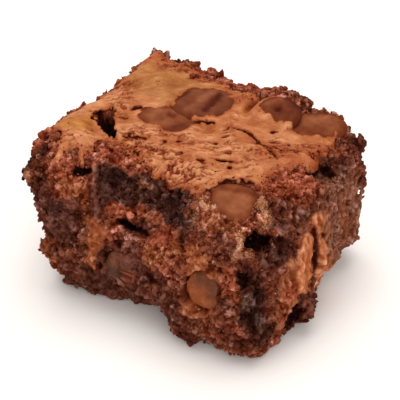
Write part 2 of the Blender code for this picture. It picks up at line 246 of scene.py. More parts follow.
     (27.6, 11.0, 31.2), (28.4, 14.5, 31.0), 1.8, "dark", 0.8, 0.9, 0.0, 0.3),
    ("brown rim of the right end", (28.9, 6.0, 27.4), (29.3, 13.0, 27.6), 1.6, "olive", 0.8, 0.9, 0.1, 0.1),
    ("right end, foot", (29.8, 16.5, 14.5), (31.2, 8.5, 12.0), 4.2, "olive", 0.85, 0.5, 0.0, 0.3),
    ("dark crumb of the right end", (28.9, 5.2, 25.6), (29.2, 7.0, 21.6), 1.8, "dark", 0.6, 0.7, 0.0, 0.3),
    ("pale flecks of the right end",
     (29.4, 13.0, 19.6), (30.4, 14.4, 13.4), 0.9, "orange", 0.5, 0.5, 0.2, 0.1),
    ("right corner crumbs", (27.5, 21.5, 31.0), (28.0, 24.0, 27.0), 3.0, "dark", 0.85, 1.0, 0.0, 0.4),
    ("clod of the back tip", (-27.5, 24.0, 37.0), (-26.0, 24.4, 36.0), 2.0, "pink", 0.7, 0.9, 0.0, 0.1),
    ("strip behind the band", (-18.8, -12.5, 33.4), (-7.0, -11.0, 33), 3.4, "red", 0.9, 1.0, 0.0, 0.1),
    ("red crumb of the back rim", (-14.0, 23.6, 35.6), (6.0, 21.6, 36.4), 2.6, "red", 0.6, 1.0, 0.0, 0.2),
    ("tan flecks of the strip",
     (-10.0, -11.6, 33.3), (-7.0, -12.4, 33.1), 1.7, "smear", 0.4, 0.8, 0.0, 0.1),
    ("fudge of the back side", (-12, 26, 22), (10, 26, 24), 4.2, "fudge", 0.9, 0.9, -0.4, 0.7),
    ("smooth patch of the back side", (12, 27, 12), (20, 27, 16), 3.2, "orange", 0.9, 0.25, 0.9, 0.1),
    ("tan crumbs of the back side", (-20, 26, 14), (-12, 27, 11), 2.4, "orange", 0.8, 1.0, 0.3, 0.1),
    ("red clump of the back side", (2, 27, 15), (6, 27, 13), 2.2, "rust", 0.9, 0.8, 0.5, 0.1),
    ("fudge of the left side", (-30, 2, 22), (-31, 14, 20), 3.8, "fudge", 0.9, 0.9, -0.3, 0.7),
    ("knife streak of the left side", (-31, -8, 24), (-30, -10, 8), 2.0, "smear", 0.9, 0.15, 1.0, 0.1),
    ("knife streak, left side, far", (-31, 9, 14), (-30, 8, 5), 1.8, "orange", 0.9, 0.2, 0.9, 0.1),
    ("red crumb of the left side", (-31, 0, 30), (-31, 12, 31), 2.2, "red", 0.8, 1.0, 0.2, 0.1),
)
ZONES = tuple(Zone(*row) for row in ZONE_ROWS)

# Ways into the brownie: away from the usual camera, and straight in from a side.
INTO_FRONT = (-0.44, 0.68, -0.59)
INTO_TOP = (0.0, 0.0, -1.0)
INTO_LEFT = (1.0, 0.0, 0.0)
INTO_BACK = (0.0, -1.0, 0.0)
# Cavities and slots of the crumb: (name, from, to, half width, depth, way in, tint of the painted shade at
# the bottom).
CAVITIES = (
    ("pit in the top", (-23.6, -3.0, 34), (-18.6, -7.8, 33), 2.7, 5.2, INTO_TOP, "black"),
    ("gap under the plates", (-18.6, -21.0, 31.4), (-16.2, -19.0, 30.8), 1.0, 2.8, INTO_FRONT, "black"),
    ("black cavity", (-6.6, -21.5, 23.0), (-2.6, -21.1, 22.1), 0.8, 4.5, INTO_FRONT, "black"),
    ("end of the black cavity", (-1.8, -21.0, 21.9), (0.2, -20.9, 21.6), 0.7, 2.0, INTO_FRONT, "black"),
    ("groove by the brown patch", (-8.8, -23.8, 18.6), (-8.7, -24.2, 13.4), 0.5, 1.0, INTO_FRONT, "slit"),
    ("gap over the left cut chip", (-6.2, -23.6, 18.8), (-4.2, -23.4, 18.9), 0.7, 1.4, INTO_FRONT, "slit"),
    ("hole in the dark belly", (3.0, -25.0, 14.6), (5.0, -25.3, 14.2), 0.9, 1.6, INTO_FRONT, "slit"),
    ("black hole by the front chip", (23.4, -16.9, 27.0), (25.6, -15.0, 26.9), 1.9, 5.5, INTO_FRONT, "black"),
    ("hole of the dark column", (24.8, -22.2, 22.0), (25.3, -22.2, 19.6), 1.2, 2.4, INTO_FRONT, "black"),
    ("slot between the streaks", (29.4, 0.2, 21.8), (30.6, -1.6, 10.0), 0.55, 1.6, INTO_FRONT, "slit"),
    ("dot in the right streak", (30.2, 2.1, 19.6), (30.2, 2.3, 19.0), 0.5, 1.2, INTO_FRONT, "slit"),
    ("wedge beside the foot lump", (31.6, -10.8, 8.4), (31.0, -12.6, 4.2), 1.5, 3.4, INTO_FRONT, "black"),
    ("gap behind the dark spot", (26.0, 9.0, 30.8), (27.6, 10.4, 29.8), 1.1, 2.0, INTO_FRONT, "black"),
    ("cavity of the left side", (-31, 17, 12), (-31, 18, 9), 1.6, 3.0, INTO_LEFT, "black"),
    ("high cavity of the left side", (-32, 5, 25), (-32, 8, 25), 1.0, 2.4, INTO_LEFT, "black"),
    ("cavity of the back side", (-5, 26.5, 9), (-2, 26.5, 8), 1.8, 3.4, INTO_BACK, "black"),
    ("high cavity of the back side", (7, 27, 20), (10, 27, 21), 1.1, 2.6, INTO_BACK, "slit"),
)

# Places where the torn shape stands out or draws back: (name, middle, reach, shift).
NUDGES = (
    ("low end of the right side", (29.5, 18.5, 9.0), 4.2, (1.5, 1.0, -0.4)),
    ("back tip", (-26.5, 23.5, 36.0), 5.5, (-0.4, 0.4, 1.7)),
    ("rim behind the back chip", (12.5, 23.5, 37.0), 4.5, (0.3, 0.3, 1.1)),
    ("rim left of the back chip", (2.0, 23.5, 35.5), 4.0, (0.0, 0.0, -1.2)),
    ("rim behind the right chip", (20.0, 24.0, 34.5), 4.5, (0.2, 0.2, 0.9)),
    ("right tip", (28.5, 23.5, 29.5), 4.5, (0.3, 0.2, 0.0)),
    ("right end", (29.8, 21.0, 22.0), 6.5, (1.1, 0.6, 0.0)),
    ("foot of the right end", (29.0, 20.0, 13.0), 5.0, (0.8, 0.6, -0.6)),
    ("left tip", (-30.0, -20.0, 31.0), 5.0, (-1.2, -0.3, 0.0)),
    ("left rim", (-30.8, -1.5, 34.2), 3.6, (-1.3, -0.6, 0.3)),
    ("left foot", (-19.6, -24.0, 2.0), 7.5, (-0.2, -2.0, 0.0)),
    ("foot of the front", (2.4, -24.0, 1.0), 6.0, (-0.4, 3.6, 0.0)),
    ("foot of the hollow", (-9.5, -24.0, 1.0), 5.5, (0.0, -1.8, 0.0)),
    ("foot of the low chip", (17.0, -25.0, 1.0), 4.0, (-0.3, 1.0, 0.0)),
    ("heel", (29.0, -18.0, 1.5), 4.0, (0.9, -0.3, 0.0)),
    ("foot of the right side", (31.8, -2.0, 2.0), 4.0, (-1.8, -0.8, 0.0)),
    ("far foot of the right side", (31.0, 10.5, 3.5), 5.5, (-4.6, -1.0, 0.0)),
    ("foot of the right streak", (31.5, 4.0, 1.5), 3.0, (0.8, -0.4, 0.0)),
)

# Clods that stand clear of the crumb: (name, middle, reach along x, y and z, lumps,
# size of a lump). Each is a heap of balls that melts into the crumb.
CLUMPS = (
    ("clod of the left corner", (-28.6, -23.8, 28.0), (0.9, 0.6, 1.3), 7, 1.1),
    ("crumbs of the left edge", (-24.2, -26.4, 19.6), (0.5, 0.5, 3.2), 8, 0.75),
    ("crumbs of the left foot", (-23.8, -25.8, 11.6), (0.5, 0.5, 2.6), 7, 0.85),
    ("clod at the back tip", (-26.4, 23.6, 35.8), (2.2, 0.8, 0.6), 12, 1.0),
    ("crumbs of the back rim, left", (-19.6, 24.4, 34.9), (4.0, 0.6, 0.6), 12, 0.85),
    ("clod of the back rim", (-9.0, 24.2, 33.8), (1.6, 0.7, 0.8), 8, 1.0),
    ("crumbs of the back rim, right", (-1.0, 24.2, 34.2), (3.0, 0.6, 0.6), 10, 0.8),
    ("lump behind the back chip", (11.4, 20.7, 37.6), (2.9, 1.3, 0.9), 20, 1.35),
    ("slope of that lump", (14.2, 22.2, 37.2), (1.6, 0.8, 0.6), 9, 1.1),
    ("spike of the back rim", (-12.0, 24.0, 35.2), (0.9, 0.5, 0.8), 6, 0.9),
    ("crumbs behind the right chip", (16.0, 24.2, 33.4), (3.0, 0.7, 0.5), 9, 0.8),
    ("crumbs beside the right chip", (25.0, 20.4, 32.4), (0.7, 2.6, 0.6), 14, 0.85),
    ("clod of the right tip", (26.9, 23.4, 30.2), (1.3, 1.1, 2.0), 14, 0.95),
    ("low clod of the right tip", (27.4, 22.9, 27.4), (0.7, 0.7, 1.2), 7, 0.8),
    ("crumbs of the right end", (29.6, 21.8, 20.6), (0.7, 0.7, 4.0), 9, 0.75),
    ("foot of the right side", (32.7, -7.0, 5.6), (0.8, 1.4, 1.2), 7, 1.1),
)
# The ridge that hangs from the left plate: its line and the radius of its balls, top and foot.
RIDGE = ((-16.2, -16.6, 32.0), (-14.5, -19.0, 29.0), (-13.1, -20.9, 25.6), (-12.0, -22.2, 22.4))
RIDGE_SIZES = (0.5, 0.75)
# How far the crumb's core is pushed, inwards, to make room for its lumps.
ROOM_FOR_LUMPS = -0.90
# Lumps that cover the core: (setting for their number, smallest and largest radius,
# how far they are sunk, how finely they are made).
LUMP_KINDS = (
    ("large_lumps", 1.4, 2.6, 0.60, 3),
    ("middle_lumps", 0.6, 1.4, 0.25, 2),
    ("small_lumps", 0.35, 0.8, -0.15, 2),
)

# Heights in metres that the baked top lies between.
OVER_TOP = 0.06
LOWEST_TOP = 0.026
# The crust's edge in plan, round from the left corner along the torn front.
CRUST_EDGE = (
    (-32.2, -9.5), (-30.8, -13.6), (-27.4, -14.6), (-25.8, -16.8), (-25.1, -19.4), (-24.8, -21.2),
    (-24.2, -20.4), (-23.6, -21.6), (-22.2, -21.5), (-22.8, -19.4), (-23.3, -17.2), (-22.2, -16.4),
    (-21.0, -16.6), (-18.9, -18.8), (-18.0, -18.0), (-18.9, -15.3), (-18.6, -13.4), (-18.9, -11.4),
    (-16.4, -10.9), (-12.8, -10.6), (-9.6, -11.4), (-5.9, -11.9), (-2.8, -12.6), (0.6, -13.2),
    (4.6, -13.9), (9.4, -14.4),
    (10.6, -10.6), (12.2, -7.2), (15.2, -5.6), (18.4, -5.8), (19.4, -2.4), (19.0, 1.4),
    (21.6, 3.4), (24.0, 6.4), (25.0, 11.0), (25.4, 14.8), (23.8, 18.4), (20.6, 20.4),
    (16.4, 19.4), (13.0, 16.6), (9.6, 17.4), (7.0, 18.8), (3.0, 18.9), (0.4, 20.4), (-3.0, 19.7),
    (-7.0, 21.0), (-11.0, 20.4), (-15.0, 22.2), (-20.0, 22.9), (-26.5, 24.6),
    (-29.6, 22.0), (-30.4, 14.0), (-30.2, 4.0), (-31.0, -4.0),
)
# Cracks and slits through the crust: points in plan, half width in the middle.
CRACKS = (
    (((-22.9, -3.6), (-20.4, -2.6), (-18.0, -2.0)), 0.30),
    (((-4.4, 3.4), (-2.4, 5.0), (-0.2, 6.2)), 0.50),
    (((3.2, 6.6), (5.3, 7.3), (8.7, 6.9), (11.2, 6.1)), 0.55),
    (((11.2, 6.1), (13.7, 4.9), (15.1, 4.8), (17.7, 3.4)), 0.34),
    (((5.6, -3.6), (7.6, -3.4), (10.2, -2.2), (11.8, -1.6)), 0.40),
    (((-15.0, -7.6), (-12.6, -6.4), (-10.6, -5.6)), 0.30),
    (((-8.4, -8.6), (-6.4, -8.0), (-3.4, -7.2)), 0.32),
    (((15.8, 6.2), (17.6, 6.6), (19.6, 8.2)), 0.30),
    (((10.9, -9.1), (12.0, -7.9), (14.0, -6.9), (16.6, -6.4)), 0.70),
)
# The pit in the top, where a piece of crust is gone: its corners in plan.
PIT = (
    (-26.4, -4.4), (-25.0, -2.4), (-22.8, -0.4), (-20.8, -2.8), (-18.6, -5.8), (-16.6, -9.0),
    (-17.8, -9.3), (-20.6, -7.9), (-23.5, -6.4),
)
# Holes through the crust: middle in plan, half length along the view's width,
# half length across it.
HOLES = (
    ((-10.9, -10.6), 1.1, 1.0),
    ((4.5, 3.7), 0.75, 0.55), ((3.5, 0.8), 0.55, 0.45), ((10.3, -4.1), 0.8, 0.5),
    ((7.9, -0.9), 0.8, 0.45), ((-0.7, -3.0), 0.6, 0.4), ((-3.8, -2.9), 0.7, 0.4),
    ((-6.4, -4.2), 0.7, 0.5), ((3.8, -5.7), 0.7, 0.4), ((-1.1, -6.0), 0.9, 0.45),
    ((-13.7, 19.4), 1.2, 1.0), ((-18.0, 1.8), 1.2, 0.9), ((-14.0, -6.2), 0.6, 0.5),
    ((22.6, 9.4), 0.7, 0.5), ((17.4, 8.8), 0.5, 0.4), ((12.4, 10.4), 0.5, 0.4),
)
# Bands where the crust is crumbled and full of small pores: (from, to, reach,
# how crumbled).
CRUMBLED = (
    ((-17.0, -9.4), (-8.0, -9.8), 2.6, 0.8),
    ((-16.5, -6.6), (-3.0, -3.6), 2.2, 0.3),
    ((-4.0, -6.5), (7.5, -5.5), 2.4, 0.4),
    ((-6.0, -12.0), (8.0, -13.2), 1.8, 0.7),
    ((13.5, 3.8), (25.5, 13.0), 2.8, 0.85),
    ((8.5, -3.5), (14.5, 2.6), 1.8, 0.35),
    ((-24.5, 22.0), (6.0, 22.6), 3.0, 1.0),
    ((-29.0, 12.0), (-21.5, 2.0), 3.0, 0.6),
    ((-29.5, 20.0), (-30.0, 4.0), 2.4, 0.9),
    ((2.6, 8.6), (1.5, 12.0), 1.8, 0.4),
    ((0.5, 17.0), (5.5, 19.5), 1.8, 0.9),
)
# Parts of the crust with short slits, dented and darkened with painted shade: (from, to, reach, how many).
DASHED = (
    ((-15.0, -8.0), (-4.0, -8.0), 4.4, 1.0),
    ((-5.0, -9.5), (7.0, -9.0), 4.4, 0.95),
    ((-2.0, -2.6), (9.0, 0.4), 2.6, 0.6),
    ((-12.0, -3.0), (-3.0, -0.6), 2.6, 0.6),
    ((-4.0, 3.0), (4.0, 5.5), 1.8, 0.6),
    ((12.0, 4.5), (24.0, 12.0), 3.4, 1.0),
    ((-19.0, -3.0), (-16.0, 2.0), 2.4, 0.35),
    ((-26.0, -15.0), (-21.0, -12.0), 3.0, 0.45),
    ((-22.0, 20.0), (-4.0, 21.0), 3.0, 0.8),
    ((-28.0, 6.0), (-22.0, 0.0), 2.6, 0.6),
    ((-14.0, -4.5), (-6.0, -6.0), 2.2, 0.8),
    ((6.0, 3.0), (14.0, -1.0), 2.4, 0.6),
)
# Parts of the crust with a tint of their own: (from, to, reach, tint, share).
CRUST_TINTS = (
    ((-29.0, -11.0), (-24.6, -9.0), 2.8, "yellow", 0.95),
    ((-24.5, -19.0), (-20.0, -12.0), 3.0, "pale", 0.4),
    ((-22.0, 14.0), (-12.0, 12.0), 7.0, "ochre", 0.9),
    ((0.0, 18.0), (4.0, 14.0), 2.6, "yellow", 0.5),
    ((-2.0, -10.0), (8.0, -9.0), 3.0, "pale", 0.4),
    ((4.0, -2.0), (15.0, 1.0), 4.0, "pale", 0.35),
    ((11.0, 8.0), (18.0, 11.0), 2.6, "pale", 0.4),
    ((-24.0, 22.5), (-6.0, 21.5), 3.2, "rust", 0.6),
    ((15.0, 3.4), (24.0, 11.6), 3.0, "rust", 0.5),
    ((18.8, -1.4), (22.8, 4.8), 1.6, "rust", 0.7),
    ((22.2, 4.2), (24.6, 8.4), 1.8, "rust", 0.6),
    ((0.5, 16.4), (5.5, 18.0), 2.0, "rust", 0.7),
    ((-27.5, 20.6), (-23.5, 19.2), 2.6, "rust", 0.65),
    ((-15.0, -4.4), (-11.5, -3.0), 2.0, "pale", 0.6),
    ((-1.8, 3.2), (1.4, 5.0), 1.8, "pale", 0.5),
    ((-4.6, -7.2), (-1.0, -5.6), 2.0, "pale", 0.5),
    ((4.0, 6.6), (9.0, 6.0), 1.5, "rust", 0.5),
    ((4.0, 17.0), (6.0, 14.0), 2.0, "rust", 0.4),
    ((4.5, -14.5), (8.5, -13.5), 1.6, "rust", 0.5),
)
# Way across the view in plan, along which the crust wrinkles.
ACROSS = (0.839, 0.545)

# Chips in the top: outline in plan, seat (height of its middle, slopes along x and y),
# tint, rise over the seat and marks. A mark is a crease or a swelling (from, to,
# reach, push, tone).
# The marks' tone is painted light: paler on swellings and lit faces, darker in creases and under the crust's
# lip.
TOP_CHIPS = {
    "chip_left": (
        ((-16.3, 0.0), (-16.4, 2.1), (-15.3, 3.3), (-12.9, 4.5), (-9.9, 5.6), (-7.3, 6.2), (-4.7, 5.5),
         (-4.1, 3.7), (-4.5, 1.9), (-5.4, 0.0), (-7.3, -0.7), (-10.1, -1.2), (-13.3, -1.2)),
        (35.7, -0.061, 0.181), "chip_pink", 0.75,
        (((-14.3, 1.2), (-12.2, 3.2), 1.2, 0.10, 0.22), ((-9.9, 3.0), (-9.0, 3.2), 0.7, -0.20, -0.50),
         ((-5.4, 2.0), (-8.1, -0.6), 1.0, -0.12, -0.35)),
    ),
    "chip_middle": (
        ((-10.3, 5.7), (-11.5, 8.2), (-12.2, 11.0), (-11.2, 13.3), (-9.2, 15.6), (-6.6, 17.4), (-3.8, 17.7),
         (-1.8, 16.3), (-0.5, 13.8), (0.0, 10.7), (-0.7, 8.2), (-2.7, 6.4), (-5.3, 5.1), (-8.1, 4.9)),
        (36.5, -0.069, 0.005), "chip", 1.05,
        (((-7.2, 5.6), (-6.2, 13.2), 1.1, 0.30, 0.28), ((-3.9, 8.2), (-4.4, 15.2), 0.8, -0.45, -1.0),
         ((-1.2, 13.6), (-1.0, 10.3), 1.0, 0.20, -0.05), ((-11.4, 8.8), (-11.0, 12.0), 0.8, -0.20, -0.50)),
    ),
    "chip_back": (
        ((6.1, 14.0), (6.6, 15.7), (7.8, 17.2), (10.0, 17.9), (12.7, 18.0), (14.4, 17.6), (15.1, 16.6),
         (15.3, 15.3), (14.5, 13.7), (12.3, 13.3), (9.8, 13.2)),
        (37.8, -0.088, 0.46), "chip_dark", 0.85,
        (((6.6, 14.8), (9.9, 17.6), 0.9, 0.28, 0.30), ((10.4, 15.4), (10.8, 15.7), 0.5, -0.35, -0.9),
         ((11.5, 18.9), (13.8, 17.9), 1.1, -0.20, -0.40)),
    ),
    "chip_right": (
        ((14.4, 14.3), (14.1, 16.6), (14.9, 18.5), (17.3, 20.5), (19.7, 22.4), (21.7, 23.2), (23.4, 22.5),
         (24.2, 20.7), (23.7, 18.4), (22.4, 16.2), (20.7, 13.9), (18.1, 12.7), (16.0, 12.9)),
        (35.3, -0.20, 0.15), "chip_pink", 0.85,
        (((15.6, 17.4), (20.0, 20.8), 1.2, 0.16, 0.18), ((17.0, 14.2), (22.4, 16.2), 0.9, -0.05, -0.25)),
    ),
    "chip_front": (
        ((11.7, -11.5), (11.3, -10.5), (12.0, -9.5), (13.6, -8.6), (15.8, -7.8), (17.5, -7.6), (19.0, -8.3),
         (19.8, -9.8), (19.9, -11.7), (19.2, -13.6), (17.8, -14.7), (15.6, -14.9), (13.8, -14.3),
         (12.3, -13.3)),
        (31.75, -0.111, 0.282), "chip_light", 0.70,
        (((12.2, -9.8), (18.6, -8.0), 0.8, -0.20, -0.45), ((15.5, -13.6), (18.6, -12.4), 1.8, 0.08, 0.10)),
    ),
}
# How far a chip reaches under the crust round it, how deep its edge lies under its
# seat, and how bluntly its face falls to that edge.
CHIP_SPREAD = 0.9
CHIP_EDGE = 0.95
CHIP_BLUNTNESS = 2.6
# How far the crust laps over the far side of a chip, if not as far as usual.
USUAL_LAP = 0.35
LAPS = {"chip_front": 0.9, "chip_back": -0.2, "chip_right": -0.2}
# Chips cut through by the torn side: (node, tint, tint of the side darkened with painted
# shade, way from the middle to that side).
SIDE_CHIPS = (
    ("chip_cut_left", "chip_grey", "chip_shade", (0.2, 0.0, 1.0)),
    ("chip_cut_front", "chip_amber", "chip_shade", (0.75, 0.0, 0.65)),
)
# A cut chip's face: from which share of its half thickness it is flattened, how much
# of its slope it keeps there, and by which share the chip is sunk.
FLAT_FROM = 0.45
FLAT_SLOPE = 0.35
SUNK_BY = 0.25

# The middle of the view, the soft square lights (name, place, side, power) and the room's light.
VIEW_MIDDLE = (-1.5, 2.5, 16)
LIGHTS = (
    ("overhead", (-0.16, 0.20, 1.00), 1.00, 7.7),
    ("front_fill", (0.68, -0.80, 0.70), 0.90, 4.2),
)
ROOM_COLOUR = (1, 0.99, 0.98, 1)
ROOM_LIGHT = 0.71


# ---------------------------------------------------------------- settings


def colour(name, description, rgb):
    """A colour setting."""
    return FloatVectorProperty(
        name=name, description=description, subtype="COLOR", size=3, min=0, max=1, default=rgb
    )


def length(name, description, millimetres):
    """A length setting, given in mm."""
    return FloatProperty(
        name=name, description=description, default=millimetres * MM, unit="LENGTH", precision=5
    )


class CrumbSettings(bpy.types.PropertyGroup):
    """Sizes and colours of the crumb."""

    voxel: length("Voxel", "Finest size that the fused crumb keeps", 0.32)
    large_lumps: IntProperty(name="Large lumps", description="Clods of 2 to 3 mm", default=340)
    middle_lumps: IntProperty(name="Middle lumps", description="Lumps of 1 to 2 mm", default=2000)
    small_lumps: IntProperty(name="Small lumps", description="Grains under 1 mm", default=7500)
    brown: colour("Brown", "Usual crumb", display(122, 60, 37))
    dark: colour("Dark", "Moist dark crumb", display(80, 32, 19))
    fudge: colour("Fudge", "Dense undercooked band", display(76, 38, 26))
    mauve: colour("Mauve", "Dense crumb with a mauve tinge", display(93, 51, 39))
    # Black is also painted shade at the bottom of the cavities.
    black: colour("Black", "Wet lumps and the bottom of the cavities", display(40, 12, 6))
    # Slit is also painted shade in the cavities and the painted shadow band over the front chip.
    slit: colour("Slit", "Dark red bottom of the slits", display(72, 20, 8))
    red: colour("Red", "Dry reddish crumb", display(150, 70, 43))
    rust: colour("Rust", "Brightest red crumb", display(140, 66, 38))
    pink: colour("Pink", "Pinkish brown crumb", display(142, 76, 54))
    orange: colour("Orange", "Light brown crumb", display(152, 80, 47))
    olive: colour("Olive", "Brown crumb of the right end", display(130, 77, 54))
    grey: colour("Grey", "Greyish crumb", display(100, 64, 49))
    # Grey is greyish crumb and also painted highlight: the glints of the heel and the strands of the slope.
    smear: colour("Smear", "Crumb smeared smooth by the knife", display(190, 114, 74))
    beige: colour("Beige", "Light sugary crumb", display(212, 146, 102))


class CrustSettings(bpy.types.PropertyGroup):
    """Sizes and colours of the baked top."""

    cell: length("Cell", "Spacing of the crust's points", 0.23)
    thickness: length("Thickness", "Thickness of the crust", 0.55)
    tan: colour("Tan", "Usual crust", display(175, 104, 61))
    pale: colour("Pale", "Palest crust", display(190, 122, 80))
    ochre: colour("Ochre", "Crust of the back plate", display(160, 99, 52))
    rust: colour("Rust", "Broken and edge crust", display(150, 72, 36))
    yellow: colour("Yellow", "Yellowest plates", display(166, 99, 45))
    # Slit is also the colour of painted shade in the dashes and of painted shadow under the flakes and round
    # the chips.
    slit: colour("Slit", "Dark red dashes and slits", display(128, 42, 12))


class ChipSettings(bpy.types.PropertyGroup):
    """Colours of the chocolate chips."""

    chip: colour("Chip", "Usual chip", display(113, 57, 30))
    chip_pink: colour("Pink chip", "Pinkish chip", display(120, 60, 31))
    chip_dark: colour("Dark chip", "Darkest chip", display(102, 45, 21))
    chip_light: colour("Light chip", "Lightest chip", display(136, 75, 44))
    chip_grey: colour("Grey chip", "Chip cut through on the left", display(80, 51, 40))
    chip_amber: colour("Amber chip", "Chip cut through in front", display(144, 76, 42))
    # Painted shade: the darker side of a cut chip.
    chip_shade: colour("Shaded chip", "Dark part of a cut chip", display(104, 58, 38))


class LooseSettings(bpy.types.PropertyGroup):
    """How many loose crumbs there are of each kind."""

    coarse: IntProperty(name="Coarse crumbs", default=1700, description="Crumbs of 1 to 2 mm")
    fine: IntProperty(name="Fine crumbs", default=6000, description="Crumbs under 1 mm")
    crust: IntProperty(name="Crust flakes", default=800, description="Flakes of crust")
    beige: IntProperty(name="Beige grains", default=1400, description="Light sugary grains")


class StageSettings(bpy.types.PropertyGroup):
    """Camera and light."""

    azimuth: FloatProperty(
        name="Azimuth", description="Way round to the camera", default=math.radians(33), subtype="ANGLE"
    )
    elevation: FloatProperty(
        name="Elevation", description="Height of the camera", default=math.radians(36), subtype="ANGLE"
    )
    distance: length("Distance", "Camera to the middle of the view", 320)
    lens: FloatProperty(
        name="Lens", description="Focal length on a 36 mm sensor, in mm", default=126.72, min=1
    )
    floor: colour("Floor", "Pale floor", (0.92, 0.865, 0.825))


# ---------------------------------------------------------------- numbers and noise


def rng_for(piece):
    """Random numbers of one piece, the same each run."""
    return np.random.default_rng([SEED, sum(piece.encode())])


def eased(share):
    """A share that starts and ends gently, kept from 0 to 1."""
    share = np.clip(share, 0, 1)
    return share * share * (3 - 2 * share)


def fading(distance, reach):
    """1 inside, where the distance is under 0 mm, and less and less outside."""
    return np.exp(-np.clip(distance, 0, FAR) / reach)


def unit(vectors):
    """Vectors made 1 long, one in each row."""
    return vectors / np.linalg.norm(vectors, axis=1)[:, None]


def rough(points, size, seed):
    """Smooth noise from -1 to 1 at points in mm, with lumps of a size in mm."""
    shifted = points / size + np.array((seed * 3.17, seed * 7.31, seed * 1.93))
    return np.fromiter((noise.noise(p) for p in shifted.tolist()), float, len(points))


def layers(points, *waves):
    """Smooth noises added up, each given by its amount, size and seed."""
    return sum(amount * rough(points, size, seed) for amount, size, seed in waves)


def drift(points, size, seeds):
    """Smooth noise for each of the seeds, side by side, as a shift of the points."""
    return np.stack([rough(points, size, seed) for seed in seeds], 1)


def cell_places(points, size, seed):
    """Points as places among uneven cells of a size."""
    return (points / size + np.array((seed * 1.37, seed * 2.71, seed * 4.13))).tolist()


def cells(points, size, seed):
    """Distance to the nearest of uneven cells of a size, as a share of the size."""
    places = cell_places(points, size, seed)
    return np.fromiter((noise.voronoi(place)[0][0] for place in places), float, len(points))


def chunks(points, size, seed):
    """Levels from about -1 to 1 of broken chunks of a size, each with a tilt of its own."""
    noise.seed_set(SEED)  # without it noise_vector follows the clock
    levels = np.empty(len(points))
    for number, place in enumerate(cell_places(points, size, seed)):
        middle = noise.voronoi(place)[1][0]
        turn = noise.noise_vector(middle * 3.7)
        levels[number] = 1.3 * turn.z + (Vector(place) - middle).dot(turn) * 1.6
    return np.clip(levels, -1.2, 1.2)


def streak_distance(points, start, end):
    """Distance of points from a straight line between two points."""
    start, end = np.array(start, float), np.array(end, float)
    along = end - start
    reach = max(along @ along, 1e-9)
    share = np.clip((points - start) @ along / reach, 0, 1)
    return np.linalg.norm(points - start - share[:, None] * along, axis=1)


def toned(tint, tone):
    """Tints made lighter or darker by a tone, and redder as they darken."""
    tone = np.asarray(tone)[:, None]
    spread = np.where(tone > 0, np.array(PALER_SPREAD), np.array(DARKER_SPREAD))
    return np.clip(tint * np.exp(tone * spread), 0, 1)


def blended(tint, settings, name, share):
    """Tints mixed with a colour of the settings, by a share for each point."""
    return tint + (np.array(getattr(settings, name)) - tint) * share[:, None]


def blur(grid, sigma):
    """A grid of values smoothed over sigma cells."""
    reach = int(3 * sigma) + 1
    steps = np.arange(-reach, reach + 1)
    kernel = np.exp(-0.5 * (steps / sigma) ** 2)
    kernel /= kernel.sum()
    padded = np.pad(grid, reach, mode="edge")
    rows = np.apply_along_axis(np.convolve, 0, padded, kernel, "valid")
    return np.apply_along_axis(np.convolve, 1, rows, kernel, "valid")


def flat_points(plan, stretch=1.0):
    """Plan points as 3-D ones, turned to the view and squeezed along its width."""
    across = plan @ np.array(ACROSS)
    deep = plan @ np.array((-ACROSS[1], ACROSS[0]))
    return np.stack((across / stretch, deep, np.zeros(len(plan))), 1)


def edge_distance(points, outline):
    """Distance inside a closed outline, negative outside."""
    nearest = np.full(len(points), 1e9)
    inside = np.zeros(len(points), bool)
    for start, end in zip(outline, outline[1:] + outline[:1]):
        nearest = np.minimum(nearest, streak_distance(points, start, end))
        rises = (start[1] > points[:, 1]) != (end[1] > points[:, 1])
        run = (end[0] - start[0]) * (points[:, 1] - start[1]) / ((end[1] - start[1]) or 1e-9) + start[0]
        inside ^= rises & (points[:, 0] < run)
    return np.where(inside, nearest, -nearest)


# ---------------------------------------------------------------- meshes


def new_object(name, data):
    """A new object in the scene."""
    obj = bpy.data.objects.new(name, data)
    bpy.context.scene.collection.objects.link(obj)
    return obj


def primitive(add, name, **values):
    """A new object from one of Blender's operators for simple meshes."""
    bpy.ops.object.select_all(action="DESELECT")
    add(**values)
    obj = bpy.context.object
    obj.name = obj.data.name = name
    return obj


def only(obj):
    """Selects one object and makes it the one that operators act on."""
    bpy.ops.object.select_all(action="DESELECT")
    obj.select_set(True)
    bpy.context.view_layer.objects.active = obj


@contextmanager
def editing(obj):
    """Edit mode on one object, for as long as the block lasts."""
    only(obj)
    bpy.ops.object.mode_set(mode="EDIT")
    yield
    bpy.ops.object.mode_set(mode="OBJECT")


def choose(obj, kind, chosen):
    """Selects the chosen vertices or faces of an object and no others."""
    with editing(obj):
        bpy.ops.mesh.select_mode(type=kind)
        bpy.ops.mesh.select_all(action="DESELECT")
    items = obj.data.vertices if kind == "VERT" else obj.data.polygons
    items.foreach_set("select", chosen)


def apply_modifier(obj, kind, **values):
    """Adds a modifier, sets its values and applies it."""
    only(obj)
    modifier = obj.modifiers.new(kind.lower(), kind)
    for key, value in values.items():
        setattr(modifier, key, value)
    bpy.ops.object.modifier_apply(modifier=modifier.name)


def merged_copy(node, name):
    """A copy of a CAD node with its loose triangles joined up."""
    obj = new_object(name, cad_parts[node].data.copy())
    obj.data.materials.clear()
    with editing(obj):
        bpy.ops.mesh.select_all(action="SELECT")
        bpy.ops.mesh.remove_doubles(threshold=0.002 * MM)
    return obj


def read_all(items, name, width, kind=np.float32):
    """One property of all the items of a mesh, a row for each item."""
    flat = np.empty(len(items) * width, kind)
    items.foreach_get(name, flat)
    return flat.reshape(-1, width)


def mesh_points(mesh):
    """The vertices of a mesh in mm."""
    return read_all(mesh.vertices, "co", 3).astype(float) / MM


def mesh_normals(mesh):
    """The way each vertex of a mesh faces."""
    return read_all(mesh.vertices, "normal", 3).astype(float)


